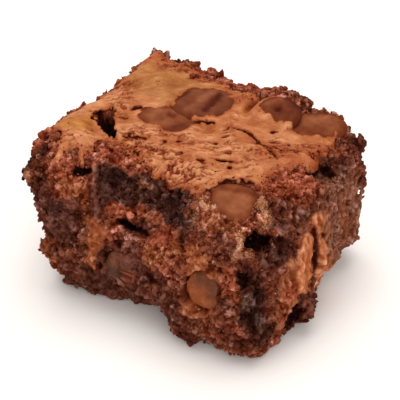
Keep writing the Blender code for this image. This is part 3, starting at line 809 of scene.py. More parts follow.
def mesh_triangles(mesh):
    """The triangles of a mesh, each as the numbers of its corners."""
    mesh.calc_loop_triangles()
    return read_all(mesh.loop_triangles, "vertices", 3, np.int32)


def mesh_tree(mesh):
    """A mesh, in mm, as a tree that finds its nearest face."""
    return BVHTree.FromPolygons(mesh_points(mesh).tolist(), mesh_triangles(mesh).tolist())


def set_points(mesh, points):
    """Moves the vertices of a mesh to points in mm."""
    mesh.vertices.foreach_set("co", (points * MM).astype(np.float32).ravel())
    mesh.update()


def mesh_from(name, points, triangles):
    """A mesh from points in mm and triangles."""
    mesh = bpy.data.meshes.new(name)
    mesh.vertices.add(len(points))
    set_points(mesh, points)
    mesh.loops.add(len(triangles) * 3)
    mesh.polygons.add(len(triangles))
    mesh.loops.foreach_set("vertex_index", triangles.astype(np.int32).ravel())
    mesh.polygons.foreach_set("loop_start", np.arange(0, len(triangles) * 3, 3, dtype=np.int32))
    mesh.update(calc_edges=True)
    return mesh


def paint(mesh, name, values):
    """Stores one number, or one colour, for each vertex."""
    wide = values.ndim == 2
    attribute = mesh.attributes.new(name, "FLOAT_COLOR" if wide else "FLOAT", "POINT")
    if wide:
        values = np.pad(values, ((0, 0), (0, 1)), constant_values=1)
    attribute.data.foreach_set("color" if wide else "value", values.astype(np.float32).ravel())


def limit_triangles(obj, **values):
    """Thins a mesh out evenly if it has more triangles than it may."""
    share = min(1.0, MOST_TRIANGLES / len(mesh_triangles(obj.data)))
    apply_modifier(obj, "DECIMATE", decimate_type="COLLAPSE", ratio=share, **values)


def finished(obj, finish, nodes=(), smooth=True):
    """Gives a piece its finish, its shading and its place in the frame."""
    obj.data.materials.clear()
    obj.data.materials.append(finish)
    if smooth:
        obj.data.shade_smooth()
    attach(obj, "root")
    if nodes:
        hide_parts(*nodes)
    print(f"{obj.name}: {len(mesh_triangles(obj.data))} triangles")


def piece(name):
    """A finished piece that a later step needs."""
    obj = bpy.data.objects.get(name)
    if obj is None:
        raise RuntimeError(f"the piece {name} has to be made first")
    return obj


# ---------------------------------------------------------------- crumb shapes


def crumb_shapes(kind, number, rings, uneven, breaks=7, kept=1.0):
    """A few broken crumbs, each as points round the origin and triangles."""
    rng = rng_for(kind)
    shapes = []
    for version in range(number):
        ball = primitive(
            bpy.ops.mesh.primitive_ico_sphere_add, "ball", subdivisions=rings, radius=1 * MM
        )
        points = mesh_points(ball.data)
        swell = rough(points, 0.9, 11 + version) * uneven + rough(points, 0.5, 31 + version) * uneven * 0.6
        points *= (1 + swell)[:, None]
        for facing in rng.normal(size=(breaks, 3)):
            facing /= np.linalg.norm(facing)
            beyond = points @ facing - rng.uniform(0.45, 0.85)
            points -= np.clip(beyond, 0, None)[:, None] * facing * 0.9
        set_points(ball.data, points)
        if kept < 1:
            apply_modifier(ball, "DECIMATE", ratio=kept)
        shapes.append((mesh_points(ball.data), mesh_triangles(ball.data)))
        bpy.data.meshes.remove(ball.data)
    return shapes


def random_turns(number, rng):
    """Random rotation matrices."""
    w, x, y, z = unit(rng.normal(size=(number, 4))).T
    rows = (
        (1 - 2 * (y * y + z * z), 2 * (x * y - w * z), 2 * (x * z + w * y)),
        (2 * (x * y + w * z), 1 - 2 * (x * x + z * z), 2 * (y * z - w * x)),
        (2 * (x * z - w * y), 2 * (y * z + w * x), 1 - 2 * (x * x + y * y)),
    )
    return np.stack([np.stack(row, 1) for row in rows], 1)


def lying_turns(normals, rng):
    """Rotation matrices whose third axis is the normal, turned at random round it."""
    first = unit(np.cross(normals, rng.normal(size=normals.shape)))
    return np.stack((first, np.cross(normals, first), normals), 2)


def joined_copies(shapes, places, turns, sizes, rng):
    """Copies of the shapes as one set of points and triangles, and each point's copy."""
    which = rng.integers(len(shapes), size=len(places))
    points, triangles, owners, start = [], [], [], 0
    for number, (shape, faces) in enumerate(shapes):
        mine = np.nonzero(which == number)[0]
        scaled = shape[None] * sizes[mine][:, None, :]
        moved = np.einsum("nij,nvj->nvi", turns[mine], scaled) + places[mine][:, None, :]
        points.append(moved.reshape(-1, 3))
        starts = start + len(shape) * np.arange(len(mine))
        triangles.append((faces[None] + starts[:, None, None]).reshape(-1, 3))
        owners.append(np.repeat(mine, len(shape)))
        start += len(shape) * len(mine)
    return np.concatenate(points), np.concatenate(triangles), np.concatenate(owners)


def scattered(mesh, number, likely, rng):
    """Random places on a mesh and their normals, more of them where likely is high."""
    points, triangles = mesh_points(mesh), mesh_triangles(mesh)
    a, b, c = (points[triangles[:, corner]] for corner in range(3))
    across = np.cross(b - a, c - a)
    area = np.linalg.norm(across, axis=1) + 1e-12
    normals = across / area[:, None]
    weight = area * likely((a + b + c) / 3, normals)
    chosen = rng.choice(len(triangles), size=number, p=weight / weight.sum())
    u, v = rng.random((2, number))
    over = u + v > 1
    u[over], v[over] = 1 - u[over], 1 - v[over]
    places = a[chosen] + u[:, None] * (b - a)[chosen] + v[:, None] * (c - a)[chosen]
    return places, normals[chosen]


# ---------------------------------------------------------------- the baked top in plan


def round_outline(outline):
    """Middle of an outline in plan and its smoothed radius all the way round."""
    outline = np.array(outline)
    middle = (outline.min(0) + outline.max(0)) / 2
    spokes = outline - middle
    turns = np.arctan2(spokes[:, 1], spokes[:, 0])
    order = np.argsort(turns)
    ways = np.linspace(-math.pi, math.pi, 180, endpoint=False)
    radius = np.interp(ways, turns[order], np.linalg.norm(spokes, axis=1)[order], period=2 * math.pi)
    for _ in range(12):
        radius = (np.roll(radius, 1) + radius + np.roll(radius, -1)) / 3
    return middle, radius


def polar(offsets, radius):
    """Distance of offsets from the middle, and the outline's radius on their way."""
    share = (np.arctan2(offsets[:, 1], offsets[:, 0]) / (2 * math.pi) + 0.5) * len(radius)
    steps = np.arange(len(radius) + 1)
    return np.linalg.norm(offsets[:, :2], axis=1), np.interp(share, steps, np.append(radius, radius[0]))


def seat_height(seat, middle, plan):
    """Height of a chip's seat, a sloping plane, over points in plan."""
    height, *slopes = seat
    return height + (plan - middle) @ np.array(slopes)


def dome(share):
    """Height of a blunt dome, given the share of the way out to its edge."""
    return np.sqrt(np.clip(1 - np.clip(share, 0, 1) ** CHIP_BLUNTNESS, 0, 1))


def chip_profile(share, rise):
    """Height of a chip's face over its seat, given the share of the way out to its edge."""
    return (rise + 0.2) * dome(share) - CHIP_EDGE


def nudged(points):
    """Points moved to where the torn shape stands out or draws back."""
    moved = points.copy()
    for _, middle, reach, shift in NUDGES:
        near = np.exp(-(((points - np.array(middle)) ** 2).sum(1) / reach**2))
        moved += near[:, None] * np.array(shift)
    return moved


class Top:
    """Height of the baked top and distance inside the crust's edge, on a grid in plan."""

    def __init__(self, cell):
        low, high = (np.array(corner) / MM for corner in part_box("brownie"))
        self.cell = cell
        self.start = low[:2] - 2
        self.shape = np.ceil((high[:2] + 2 - self.start) / cell).astype(int) + 1
        columns, rows = np.meshgrid(np.arange(self.shape[0]), np.arange(self.shape[1]), indexing="ij")
        self.plan = np.stack((columns.ravel(), rows.ravel()), 1) * cell + self.start
        self.outline = self.grid(edge_distance(self.plan, CRUST_EDGE))
        self.pit = self.grid(edge_distance(self.plan, PIT))
        self.chips, self.lap, seats, self.cover = self.read_chips()
        self.height = self.read_height()
        near = eased(1.15 - np.clip(self.chips, 0, FAR) / 3.0)
        self.height = self.height + (seats - self.height) * near
        self.crumbled, self.dashed = self.read_bands(CRUMBLED), self.read_bands(DASHED)
        self.margin = self.read_margin()
        self.dashes = self.read_dashes()
        self.flakes, self.painted_shadows = self.read_flakes()
        self.level = self.read_level()
        self.relief = self.level - blur(self.level, 1.1 / cell)

    def grid(self, values):
        """Values of the plan's points as a grid."""
        return values.reshape(self.shape)

    def read_chips(self):
        """Distance outside the nearest chip, the crust's lap over it, its seat and its face."""
        flat, nearest = flat_points(self.plan), np.full(len(self.plan), FAR)
        lap, seats, cover = np.zeros((3, len(self.plan)))
        uneven = layers(flat, (1.5, 3.0, 17), (0.9, 1.3, 18), (0.4, 0.6, 19))
        for name, (outline, seat, _, rise, _) in TOP_CHIPS.items():
            middle, radius = round_outline(outline)
            offsets = self.plan - middle
            away, reach = polar(offsets, radius)
            outside = (away / reach - 1) * reach
            mine = outside < nearest
            nearest = np.where(mine, outside, nearest)
            behind = flat_points(offsets)[:, 1] / reach
            far = LAPS.get(name, USUAL_LAP)
            reached = np.clip(0.30 + far * np.clip(behind, -1, 1) + uneven, -0.25, 2.0)
            lap = np.where(mine, reached, lap)
            seat_here = seat_height(seat, middle, self.plan)
            seats = np.where(mine, seat_here, seats)
            surface = seat_here + chip_profile(away / (reach + CHIP_SPREAD), rise)
            cover = np.where(away < reach + CHIP_SPREAD, np.maximum(cover, surface), cover)
        return self.grid(nearest), self.grid(lap), self.grid(seats), self.grid(cover)

    def read_height(self):
        """The level of the top, smoothed, and filled in where the chips and the pit are."""
        body = BVHTree.FromObject(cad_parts["brownie"], bpy.context.evaluated_depsgraph_get())
        down = Vector((0, 0, -1))
        hidden = (self.chips.ravel() < 0.6) | (self.pit.ravel() > -1.6)
        level, known = np.zeros((2, len(self.plan)))
        for number, (x, y) in enumerate(self.plan * MM):
            if hidden[number]:
                continue
            place = body.ray_cast(Vector((x, y, OVER_TOP)), down)[0]
            if place and place.z > LOWEST_TOP:
                level[number], known[number] = place.z / MM, 1
        level, known = self.grid(level), self.grid(known)
        known = np.where(blur(known, 0.6 / self.cell) > 0.8, known, 0)
        for reach in (0.8, 1.6, 3.2, 6.4):
            weight = blur(known, reach / self.cell)
            spread = blur(level * known, reach / self.cell) / np.maximum(weight, 1e-6)
            fill = (known == 0) & (weight > 0.05)
            level = np.where(fill, spread, level)
            known = np.where(fill, 1.0, known)
        level = blur(level, 0.9 / self.cell)
        places = np.column_stack((self.plan, level.ravel()))
        return level + self.grid(nudged(places)[:, 2] - places[:, 2])

    def read_bands(self, bands):
        """How far points are in any of the bands, 0 to 1, with ragged edges."""
        worst = np.zeros(len(self.plan))
        flat = flat_points(self.plan)
        warped = self.plan + 1.1 * drift(flat, 3.4, (5, 6))
        for start, end, reach, amount in bands:
            worst = np.maximum(worst, amount * eased(1.25 - streak_distance(warped, start, end) / reach))
        return self.grid(worst)

    def read_margin(self):
        """Distance in mm inside the crust, negative outside it and in its holes."""
        plan, flat = self.plan, flat_points(self.plan)
        uneven = layers(flat, (0.9, 2.6, 1), (0.9, 1.1, 2), (0.45, 0.6, 9))
        margin = self.outline.ravel() + uneven
        margin = np.minimum(margin, -self.pit.ravel() + uneven * 0.9)
        turned = flat_points(np.eye(2))[:, :2]
        for middle, wide, deep in HOLES:
            away = np.linalg.norm((plan - np.array(middle)) @ turned / np.array((wide, deep)), axis=1)
            margin = np.minimum(margin, (away - 1) * min(wide, deep) + uneven * 0.4)
        wobble, frayed = layers(flat, (0.35, 1.6, 3), (0.2, 0.8, 10)), 0.2 * rough(flat, 1.2, 4)
        for line, half in CRACKS:
            total = len(line) - 1
            for number, (start, end) in enumerate(zip(line, line[1:])):
                width = half * (1 - 0.5 * abs((number + 0.5) / total * 2 - 1))
                away = streak_distance(plan, start, end) + wobble
                margin = np.minimum(margin, np.abs(away) - width + frayed)
        pores = layers(flat_points(plan, 1.5), (0.75, 0.9, 7), (0.5, 0.5, 8))
        crumbled = self.crumbled.ravel()
        porous = (0.90 - 0.42 * crumbled - pores) * 0.9
        return self.grid(np.minimum(margin, np.where(crumbled > 0.02, porous, FAR)))

    def read_dashes(self):
        """Short slits in the crust, 0 to 1: dents that are darkened with painted shade."""
        long, busy = flat_points(self.plan, 3.0), self.dashed.ravel()
        wide = eased((rough(long, 0.85, 31) - 0.62 + 0.32 * busy) / 0.12)
        narrow = eased((rough(long, 0.5, 40) - 0.66 + 0.26 * busy) / 0.10)
        return self.grid(np.maximum(wide, 0.8 * narrow) * eased(self.chips.ravel() / 1.2))

    def read_flakes(self):
        """Flakes that overlap towards the viewer: their height and the painted shadow line under each edge.
        """
        flat, wide = flat_points(self.plan), flat_points(self.plan, 2.2)
        flaky = np.maximum(self.crumbled, self.dashed).ravel() * eased(self.chips.ravel() / 1.5)
        height, dark = np.zeros((2, len(self.plan)))
        for size, tall, seed in ((3.2, 0.46, 61), (1.6, 0.26, 62)):
            turned = 1.5 * rough(wide, size * 1.2, seed) + 0.40 * rough(flat, 0.8, seed + 10)
            saw = (flat[:, 1] / size + turned) % 1
            shown = eased(0.05 + 0.75 * flaky + 1.5 * rough(wide, size, seed + 20)) * (0.10 + 0.90 * flaky)
            height += tall * (1 - saw) * shown
            # Painted shadow: a dark line on the low ground in front of each flake's edge.
            dark = np.maximum(dark, eased((saw - 0.74) / 0.10) * shown)
        return self.grid(height), self.grid(dark)

    def read_level(self):
        """Height of the crust's upper face: swells, flaky steps, wrinkles, dashes and grains."""
        flat, wide, long = (flat_points(self.plan, stretch) for stretch in (1.0, 2.0, 3.2))
        crumbled = self.crumbled.ravel()
        flaky = np.maximum(crumbled, self.dashed.ravel())
        swells = layers(flat, (0.32, 7.0, 21), (0.14, 2.6, 22))
        steps = (0.06 + 0.10 * flaky) * eased(0.5 + 9 * rough(wide, 2.6, 27))
        steps += 0.04 * eased(0.5 + 9 * rough(wide, 1.3, 28)) - 0.14 * flaky
        calm = 0.25 + 0.75 * eased(self.chips.ravel() / 2.5)
        wrinkles = (0.05 + 0.05 * flaky) * rough(long, 0.75, 23)
        wrinkles += (0.03 + 0.05 * flaky) * rough(long, 0.42, 29)
        grains = crumbled * layers(flat, (0.42, 1.4, 24), (0.42, 0.75, 25))
        curl = fading(self.margin.ravel(), 0.6) * (0.06 + 0.40 * rough(flat, 3.0, 26))
        relief = (swells + steps - 0.10) * calm + wrinkles + grains + curl
        relief -= 0.5 * fading(self.outline.ravel(), 0.9)
        level = self.height - 0.2 + self.grid(relief) - 0.42 * self.dashes
        level += self.flakes - 0.20 * self.painted_shadows
        return np.maximum(level, self.cover + 0.14)

    def at(self, grid, points):
        """The grid's value over points, between its cells."""
        place = (points[:, :2] - self.start) / self.cell
        place = np.clip(place, 0, np.array(self.shape) - 1.001)
        corner = place.astype(int)
        u, v = (place - corner).T
        i, j = corner.T
        near = grid[i, j] * (1 - v) + grid[i, j + 1] * v
        far = grid[i + 1, j] * (1 - v) + grid[i + 1, j + 1] * v
        return near * (1 - u) + far * u


@cache
def top_map():
    """The map of the baked top, made once."""
    return Top(bpy.context.scene.brownie_crust.cell / MM)


# ---------------------------------------------------------------- zones of the crumb


def seen_flat(points):
    """Points squeezed along the way into the photo, so that a place is as wide as it looks."""
    way = np.array(INTO_FRONT) / np.linalg.norm(INTO_FRONT)
    points = np.asarray(points, float)
    return points - 0.65 * (points @ way)[..., None] * way


def zone_weights(points):
    """Each zone, and how much it counts at each point, with ragged edges."""
    warp = drift(points, 3.0, (41, 42, 43)) + drift(points, 1.1, (44, 45, 46)) * 0.5
    flat = seen_flat(points + warp)
    for zone in ZONES:
        away = streak_distance(flat, seen_flat(zone.start), seen_flat(zone.end))
        yield zone, eased((1.25 - away / zone.reach) / 0.5)


def crumb_finish_at(points, settings, tone):
    """Tint and wetness of the crumb at points, given each point's tone."""
    mottle = layers(points, (1.0, 6.0, 51), (0.5, 2.5, 52))
    tint = blended(np.array(settings.brown), settings, "dark", 0.85 * np.clip(mottle * 2.0, 0, 1))
    tint = blended(tint, settings, "red", 0.85 * np.clip(-mottle * 1.8, 0, 1))
    wet = 0.25 + 0.2 * np.clip(mottle, 0, 1)
    for zone, weight in zone_weights(points):
        tint = blended(tint, settings, zone.tint, weight * zone.share)
        wet += (zone.wet - wet) * weight
    return toned(tint, tone), np.clip(wet, 0, 1)


# ---------------------------------------------------------------- crumb


def make_core():
    """The CAD brownie and its chips as one solid, smoothed, with its zones pushed out or in."""
    parts = [merged_copy(name, name + "_filling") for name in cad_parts]
    only(parts[0])
    for part in parts:
        part.select_set(True)
    bpy.ops.object.join()
    core = parts[0]
    apply_modifier(core, "REMESH", mode="VOXEL", voxel_size=CORE_VOXEL * MM)
    apply_modifier(core, "SMOOTH", factor=0.5, iterations=5)
    set_points(core.data, nudged(mesh_points(core.data)))
    points, normals = mesh_points(core.data), mesh_normals(core.data)
    push = np.full(len(points), ROOM_FOR_LUMPS)
    for zone, weight in zone_weights(points):
        push += weight * zone.push
    push += 0.6 * rough(points, 3.2, 61)
    set_points(core.data, points + normals * push[:, None])
    return core


def grain_kept(points):
    """How much crumb grain shows at points, 0 to 1."""
    kept = np.ones(len(points))
    for zone, weight in zone_weights(points):
        kept += (zone.grain - kept) * weight
    return kept


def side_chip_distance(points):
    """Distance of points from the nearest chip of the torn side, 0 inside one."""
    nearest = np.full(len(points), FAR)
    for name, *_ in SIDE_CHIPS:
        tree = mesh_tree(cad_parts[name].data)
        low, high = (np.array(corner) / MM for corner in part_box(name))
        for number in np.nonzero(((points > low - 3) & (points < high + 3)).all(1))[0]:
            place, normal, _, away = tree.find_nearest(Vector(points[number]))
            outside = (Vector(points[number]) - place).dot(normal) > 0
            nearest[number] = min(nearest[number], away if outside else 0.0)
    return nearest


def clump_balls(rng):
    """Centres and radii of the balls that make up the clods and the ridge."""
    centres, radii = [], []
    for _, middle, reach, number, size in CLUMPS:
        away = rng.normal(size=(number, 3)) * 0.55
        away /= np.maximum(np.linalg.norm(away, axis=1), 1)[:, None]
        for share in (1.0, 0.45):
            centres.append(np.array(middle) + away * np.array(reach) * share)
            radii.append(size * rng.uniform(0.55, 1.0, number) * (1.3 - 0.3 * share))
    for start, end in zip(RIDGE, RIDGE[1:]):
        share = np.linspace(0, 1, 12)[:, None]
        centres.append(np.array(start) * (1 - share) + np.array(end) * share)
        radii.append(np.linspace(*RIDGE_SIZES, 12) * rng.uniform(0.9, 1.1, 12))
    return np.concatenate(centres), np.concatenate(radii)


def bare_core(points, normals):
    """How likely lumps are at points: there are none under the crust, on chips and on the base."""
    top = top_map()
    under_crust = (top.at(top.margin, points) > 0.6) & (normals[:, 2] > 0.55)
    base = (points[:, 2] < 1.0) & (normals[:, 2] < -0.5)
    near_top = points[:, 2] > top.at(top.height, points) - TOP_DEPTH
    on_top = near_top & (top.at(top.chips, points) < 0.6)
    chips = on_top | (side_chip_distance(points) < 0.3)
    cut = 1 - 0.5 * cut_share(points)[0]
    return np.where(under_crust | base | chips, 0.0, 0.003 + cut * grain_kept(points) ** 2)


def crumb_lumps(core, settings, rng):
    """The lumps that cover the core: points and triangles, then each lump's centre and tone."""
    points, triangles, centres = [], [], []

    def add(shapes, places, sizes):
        some, faces, _ = joined_copies(shapes, places, random_turns(len(places), rng), sizes, rng)
        triangles.append(faces + sum(len(part) for part in points))
        points.append(some)
        centres.append(places)

    for kind, small, large, sink, rings in LUMP_KINDS:
        number = getattr(settings, kind)
        places, normals = scattered(core.data, number, bare_core, rng)
        radius = small + (large - small) * rng.random(number) ** 2
        lean = rng.normal(size=normals.shape) * 0.25
        places = places + (normals + lean) * (radius * (-sink + 0.35 * rng.random(number)))[:, None]
        stretch = radius[:, None] * rng.uniform(0.45, 1.4, (number, 3))
        add(crumb_shapes("lump", 10, rings, 0.55, 9), places, stretch)
    balls, radii = clump_balls(rng)
    add(crumb_shapes("clump", 4, 2, 0.22), balls, np.repeat(radii[:, None], 3, 1))
    centres = np.concatenate(centres)
    return np.concatenate(points), np.concatenate(triangles), centres, rng.normal(size=len(centres)) * 0.28


def settle_under_crust(points, top):
    """Keeps the crumb under the crust and the top chips, and sinks it in the crust's holes."""
    margin, level = top.at(top.margin, points), top.at(top.level, points)
    near_top = points[:, 2] > level - 5.0
    covered = near_top & (margin > -0.1)
    under = level - 0.72 - 0.5 * eased((margin - 0.3) / 1.2)
    points[covered, 2] = np.minimum(points[covered, 2], under[covered])
    away = top.at(top.chips, points)
    chips = near_top & (away < 0.9)
    under = level - 1.6 + 1.5 * eased((away - 0.1) / 0.8)
    points[chips, 2] = np.minimum(points[chips, 2], under[chips])
    opened = near_top & (top.at(top.outline, points) > 0.4) & (margin <= -0.1)
    crumbled = top.at(top.crumbled, points)
    depth = 1.1 - 0.6 * crumbled + 0.8 * np.clip(-margin, 0, 1.6) * (1 - 0.8 * crumbled)
    above = np.clip(points[:, 2] - (level - depth), 0, None)
    points[opened, 2] -= (above * 0.8)[opened]
    return points


def chip_frame(name):
    """A chip's middle, its axes (along, side, up) as rows, and its half sizes."""
    points = mesh_points(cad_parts[name].data)
    middle = (points.min(0) + points.max(0)) / 2
    axes = np.linalg.eigh(np.cov((points - middle).T))[1]
    up, _, along = axes.T
    outward = np.array((0, 0, 1)) if abs(up[2]) > 0.5 else np.array((0, -1, 0))
    up = up * np.sign(up @ outward)
    along = along * np.sign(along[0] + 1e-6)
    frame_axes = np.stack((along, np.cross(up, along), up))
    return middle, frame_axes, np.abs((points - middle) @ frame_axes.T).max(0)


def settle_under_side_chips(points):
    """Keeps the crumb below the face of each chip of the torn side, and shallow round it."""
    for name, *_ in SIDE_CHIPS:
        middle, axes, halves = chip_frame(name)
        local = (points - middle) @ axes.T
        away = np.linalg.norm(local[:, :2] / halves[:2], axis=1)
        away += 0.28 * rough(points, 2.4, 58)
        limit = halves[2] * (1.05 * eased((away - 0.82) / 0.42) - 0.2)
        high = (away < 1.3) & (local[:, 2] < 3.5) & (local[:, 2] > limit)
        local[high, 2] = limit[high]
        points[high] = (local @ axes + middle)[high]
    return points


def cavity_share(points, start, end, half, way):
    """How far inside a cavity's mouth points are, 0 to 1, and its way in."""
    way = np.array(way) / np.linalg.norm(way)
    offset = points - np.array(start)
    line = np.array(end, float) - np.array(start)
    line -= (line @ way) * way
    share = np.clip(offset @ line / max(line @ line, 1e-6), 0, 1)
    side = offset - share[:, None] * line
    behind = side @ way
    width = half * (1.15 - 0.5 * np.abs(share * 2 - 1))
    away = np.linalg.norm(side - behind[:, None] * way, axis=1) / width
    return eased((1.4 - away) / 0.8) * (np.abs(behind) < 6), way


def in_cavity(points):
    """Whether points are in the mouth of a cavity."""
    shares = [cavity_share(points, start, end, half, way)[0] for _, start, end, half, _, way, _ in CAVITIES]
    return np.any([share > 0.3 for share in shares], axis=0)


def carve(points, tint, settings):
    """Drives the cavities into the crumb and paints shade into them, darkest at the bottom; gives the points,
    their tint and how hollow they are.
    """
    hollow = np.zeros(len(points))
    warp = drift(points, 2.0, (64, 65, 66)) * 1.1 + drift(points, 0.8, (67, 68, 69)) * 0.7
    uneven = 0.8 + 0.45 * rough(points, 1.3, 63)
    for _, start, end, half, depth, way, name in CAVITIES:
        inside, way = cavity_share(points + warp * min(half / 1.3, 1.0), start, end, half, way)
        points = points + way * (inside * depth * uneven)[:, None]
        share = eased(inside * depth / 1.2)
        deep = eased(inside * depth / 1.2 - 0.5) * share
        # Painted shade: the slit colour in the cavity's mouth, and the cavity's own tint deeper in.
        tint = blended(tint, settings, "slit", share * 0.8)
        tint = blended(tint, settings, name, deep)
        hollow = np.maximum(hollow, share)
    return points, tint, hollow


def ragged(points):
    """Points shifted a little, which makes the edges of pores and chunks uneven."""
    return points + 0.35 * drift(points, 1.2, (81, 82, 83))


def pore_depth(points):
    """Depth in mm of the open pores of the crumb."""
    uneven, depth = ragged(points), np.zeros(len(points))
    for size, deep, seed in ((2.7, 0.9, 73), (1.3, 0.5, 74)):
        depth += deep * np.clip(1 - (cells(uneven, size, seed) / 0.40) ** 2, 0, 1)
    return depth


def torn_relief(points):
    """Relief of torn crumb in mm: broken chunks, swellings and open pores."""
    uneven = ragged(points)
    relief = layers(points, (0.35, 2.4, 70), (0.18, 1.1, 71), (0.14, 0.6, 72))
    relief += 0.42 * chunks(uneven, 2.1, 75) + 0.30 * chunks(uneven, 1.05, 79)
    return relief - pore_depth(points) + 0.2


def cut_share(points):
    """How far points are on a side that was cut, 0 to 1, and marks drawn down by the knife."""
    share = eased((np.abs(points[:, 0]) - CUT_FROM) / CUT_FADE)
    drawn = points * (1.0, 1.0, 0.25)
    return share, layers(drawn, (0.8, 0.9, 80), (0.5, 0.45, 84))


def fuse(core, lumps, faces, voxel):
    """The core with its lumps as one closed skin."""
    points, triangles = mesh_points(core.data), mesh_triangles(core.data)
    joined = np.concatenate((points, lumps)), np.concatenate((triangles, faces + len(points)))
    old, core.data = core.data, mesh_from("crumb", *joined)
    bpy.data.meshes.remove(old)
    apply_modifier(core, "REMESH", mode="VOXEL", voxel_size=voxel)
    return largest_part(core)


def roughen(mesh, top):
    """Gives the crumb its torn relief; it stays under the crust and the chips, flat on the base."""
    points, normals = mesh_points(mesh), mesh_normals(mesh)
    kept, (cut, drawn) = grain_kept(points), cut_share(points)
    relief = kept * torn_relief(points) * (1 - 0.35 * cut) + (0.05 + 0.30 * cut * kept) * drawn
    points = settle_under_crust(points + normals * relief[:, None], top)
    points = settle_under_side_chips(points)
    points[:, 2] = np.where(points[:, 2] < FLAT_BASE, 0.0, points[:, 2])
    set_points(mesh, points)


def crumb_tone_and_painted_shading(mesh, kept, centres, tones, smooth_core):
    """Tone of the crumb: its own for each lump, paler where it stands out as a painted highlight, darker in
    hollows and pores as painted shade.
    """
    points = mesh_points(mesh)
    tree = KDTree(len(centres))
    for number, centre in enumerate(centres):
        tree.insert(centre, number)
    tree.balance()
    nearest = np.fromiter((tree.find(point)[1] for point in points.tolist()), int, len(points))
    stands = (stand_out(smooth_core, point) for point in points.tolist())
    stands = np.clip(np.fromiter(stands, float, len(points)), -2.2, 1.2)
    cut, drawn = cut_share(points)
    # Painted highlight where the crumb stands out; painted shade in its hollows and pores.
    tone = tones[nearest] * (0.2 + 0.8 * kept) + 0.42 * stands - 0.08
    tone += (0.3 + 0.7 * kept) * layers(points, (0.50, 3.6, 77), (0.48, 1.6, 78))
    tone += 5.0 * np.clip(bulge(mesh), -0.12, 0.06) + 0.32 * kept * rough(points, 0.8, 76)
    tone += 0.38 * np.maximum(cut, 1 - kept) * drawn + 0.28 * kept * chunks(points, 1.3, 83)
    return tone - 0.85 * kept * np.minimum(pore_depth(points), 0.9)


def make_crumb(settings):
    """The crumb: a core with thousands of lumps, fused, roughened, coloured and carved."""
    top, core = top_map(), make_core()
    smooth_core = mesh_tree(core.data)
    lumps, faces, centres, tones = crumb_lumps(core, settings, rng_for("crumb"))
    core = fuse(core, lumps, faces, settings.voxel)
    roughen(core.data, top)
    thin_out(core, top)
    points = mesh_points(core.data)
    kept = grain_kept(points)
    tone = crumb_tone_and_painted_shading(core.data, kept, centres, tones, smooth_core)
    tint, wet = crumb_finish_at(points, settings, tone)
    # Painted shade: crumb in the crust's cracks and holes is tinted dark red.
    tint = blended(tint, bpy.context.scene.brownie_crust, "slit", under_crust(points, top) * 0.75)
    points, tint, hollow = carve(points, tint, settings)
    points[:, 2] = np.maximum(points[:, 2], 0.0)
    set_points(core.data, points)
    paint(core.data, "tint", np.clip(tint, 0, 1))
    paint(core.data, "wet", wet * (1 - hollow))
    paint(core.data, "grain", 0.15 + 0.85 * kept)
    return core


def under_crust(points, top):
    """How far points are in the crust's cracks and holes, 0 to 1."""
    near_top = points[:, 2] > top.at(top.level, points) - TOP_DEPTH
    inside = eased(top.at(top.outline, points) - 0.4) * eased(top.at(top.margin, points) + 1.4)
    return inside * near_top * (top.at(top.pit, points) < -0.3)


def largest_part(obj):
    """Keeps the largest loose part of a mesh and deletes the others."""
    only(obj)
    bpy.ops.mesh.separate(type="LOOSE")
    parts = sorted(bpy.context.selected_objects, key=lambda part: len(part.data.vertices))
    for part in parts[:-1]:
        mesh = part.data
        bpy.data.objects.remove(part)
        bpy.data.meshes.remove(mesh)
    return parts[-1]


def bulge(mesh):
    """How far each vertex stands out from its neighbours, in mm."""
    points, normals = mesh_points(mesh), mesh_normals(mesh)
    edges = read_all(mesh.edges, "vertices", 2, np.int32)
    first, second = edges.T
    around = np.zeros(points.shape)
    for axis in range(3):
        around[:, axis] = np.bincount(first, points[second, axis], len(points))
        around[:, axis] += np.bincount(second, points[first, axis], len(points))
    count = np.bincount(edges.ravel(), minlength=len(points))
    return ((points - around / np.maximum(count, 1)[:, None]) * normals).sum(1)


def stand_out(tree, point):
    """How far a point stands out from the smooth core."""
    place, normal, _, _ = tree.find_nearest(Vector(point))
    return (Vector(point) - place).dot(normal)


def thin_out(obj, top):
    """Takes triangles away, most of them where nobody sees them."""
    points = mesh_points(obj.data)
    inner = (top.at(top.margin, points) > 1.0) | (top.at(top.chips, points) < -0.8)
    choose(obj, "VERT", (points[:, 2] < 0.05) | (inner & (points[:, 2] > top.at(top.height, points) - 3)))
    with editing(obj):
        bpy.ops.mesh.select_mode(type="VERT")
        bpy.ops.mesh.decimate(ratio=HIDDEN_SHARE)
    limit_triangles(obj)


# ---------------------------------------------------------------- crust


def crust_sheet(top):
    """A flat grid over the brownie, with a point for each point of the map."""
    columns, rows = (int(number) for number in top.shape)
    span = (np.array(top.shape) - 1) * top.cell
    middle = (top.start + span / 2) * MM
    crust = primitive(
        bpy.ops.mesh.primitive_grid_add,
        "crust",
        x_subdivisions=columns - 1,
        y_subdivisions=rows - 1,
        size=1 * MM,
        location=(*middle, 0),
    )
    crust.scale = (*span, 1)
    bpy.ops.object.transform_apply(location=True, rotation=True, scale=True)
    return crust


def pulled_to_edge(points, margin, margin_grid, top):
    """Points of the sheet, with those near the crust's edge moved onto it, at the crust's level."""
    lean = np.stack([top.at(part, points) for part in np.gradient(margin_grid, top.cell)], 1)
    steep = np.maximum((lean**2).sum(1), 0.2)
    shift = np.clip(-margin, -0.5 * top.cell, 0.5 * top.cell) * (np.abs(margin) < 0.8 * top.cell)
    points[:, :2] += lean / steep[:, None] * shift[:, None]
    points[:, 2] = top.at(top.level, points)
    return points


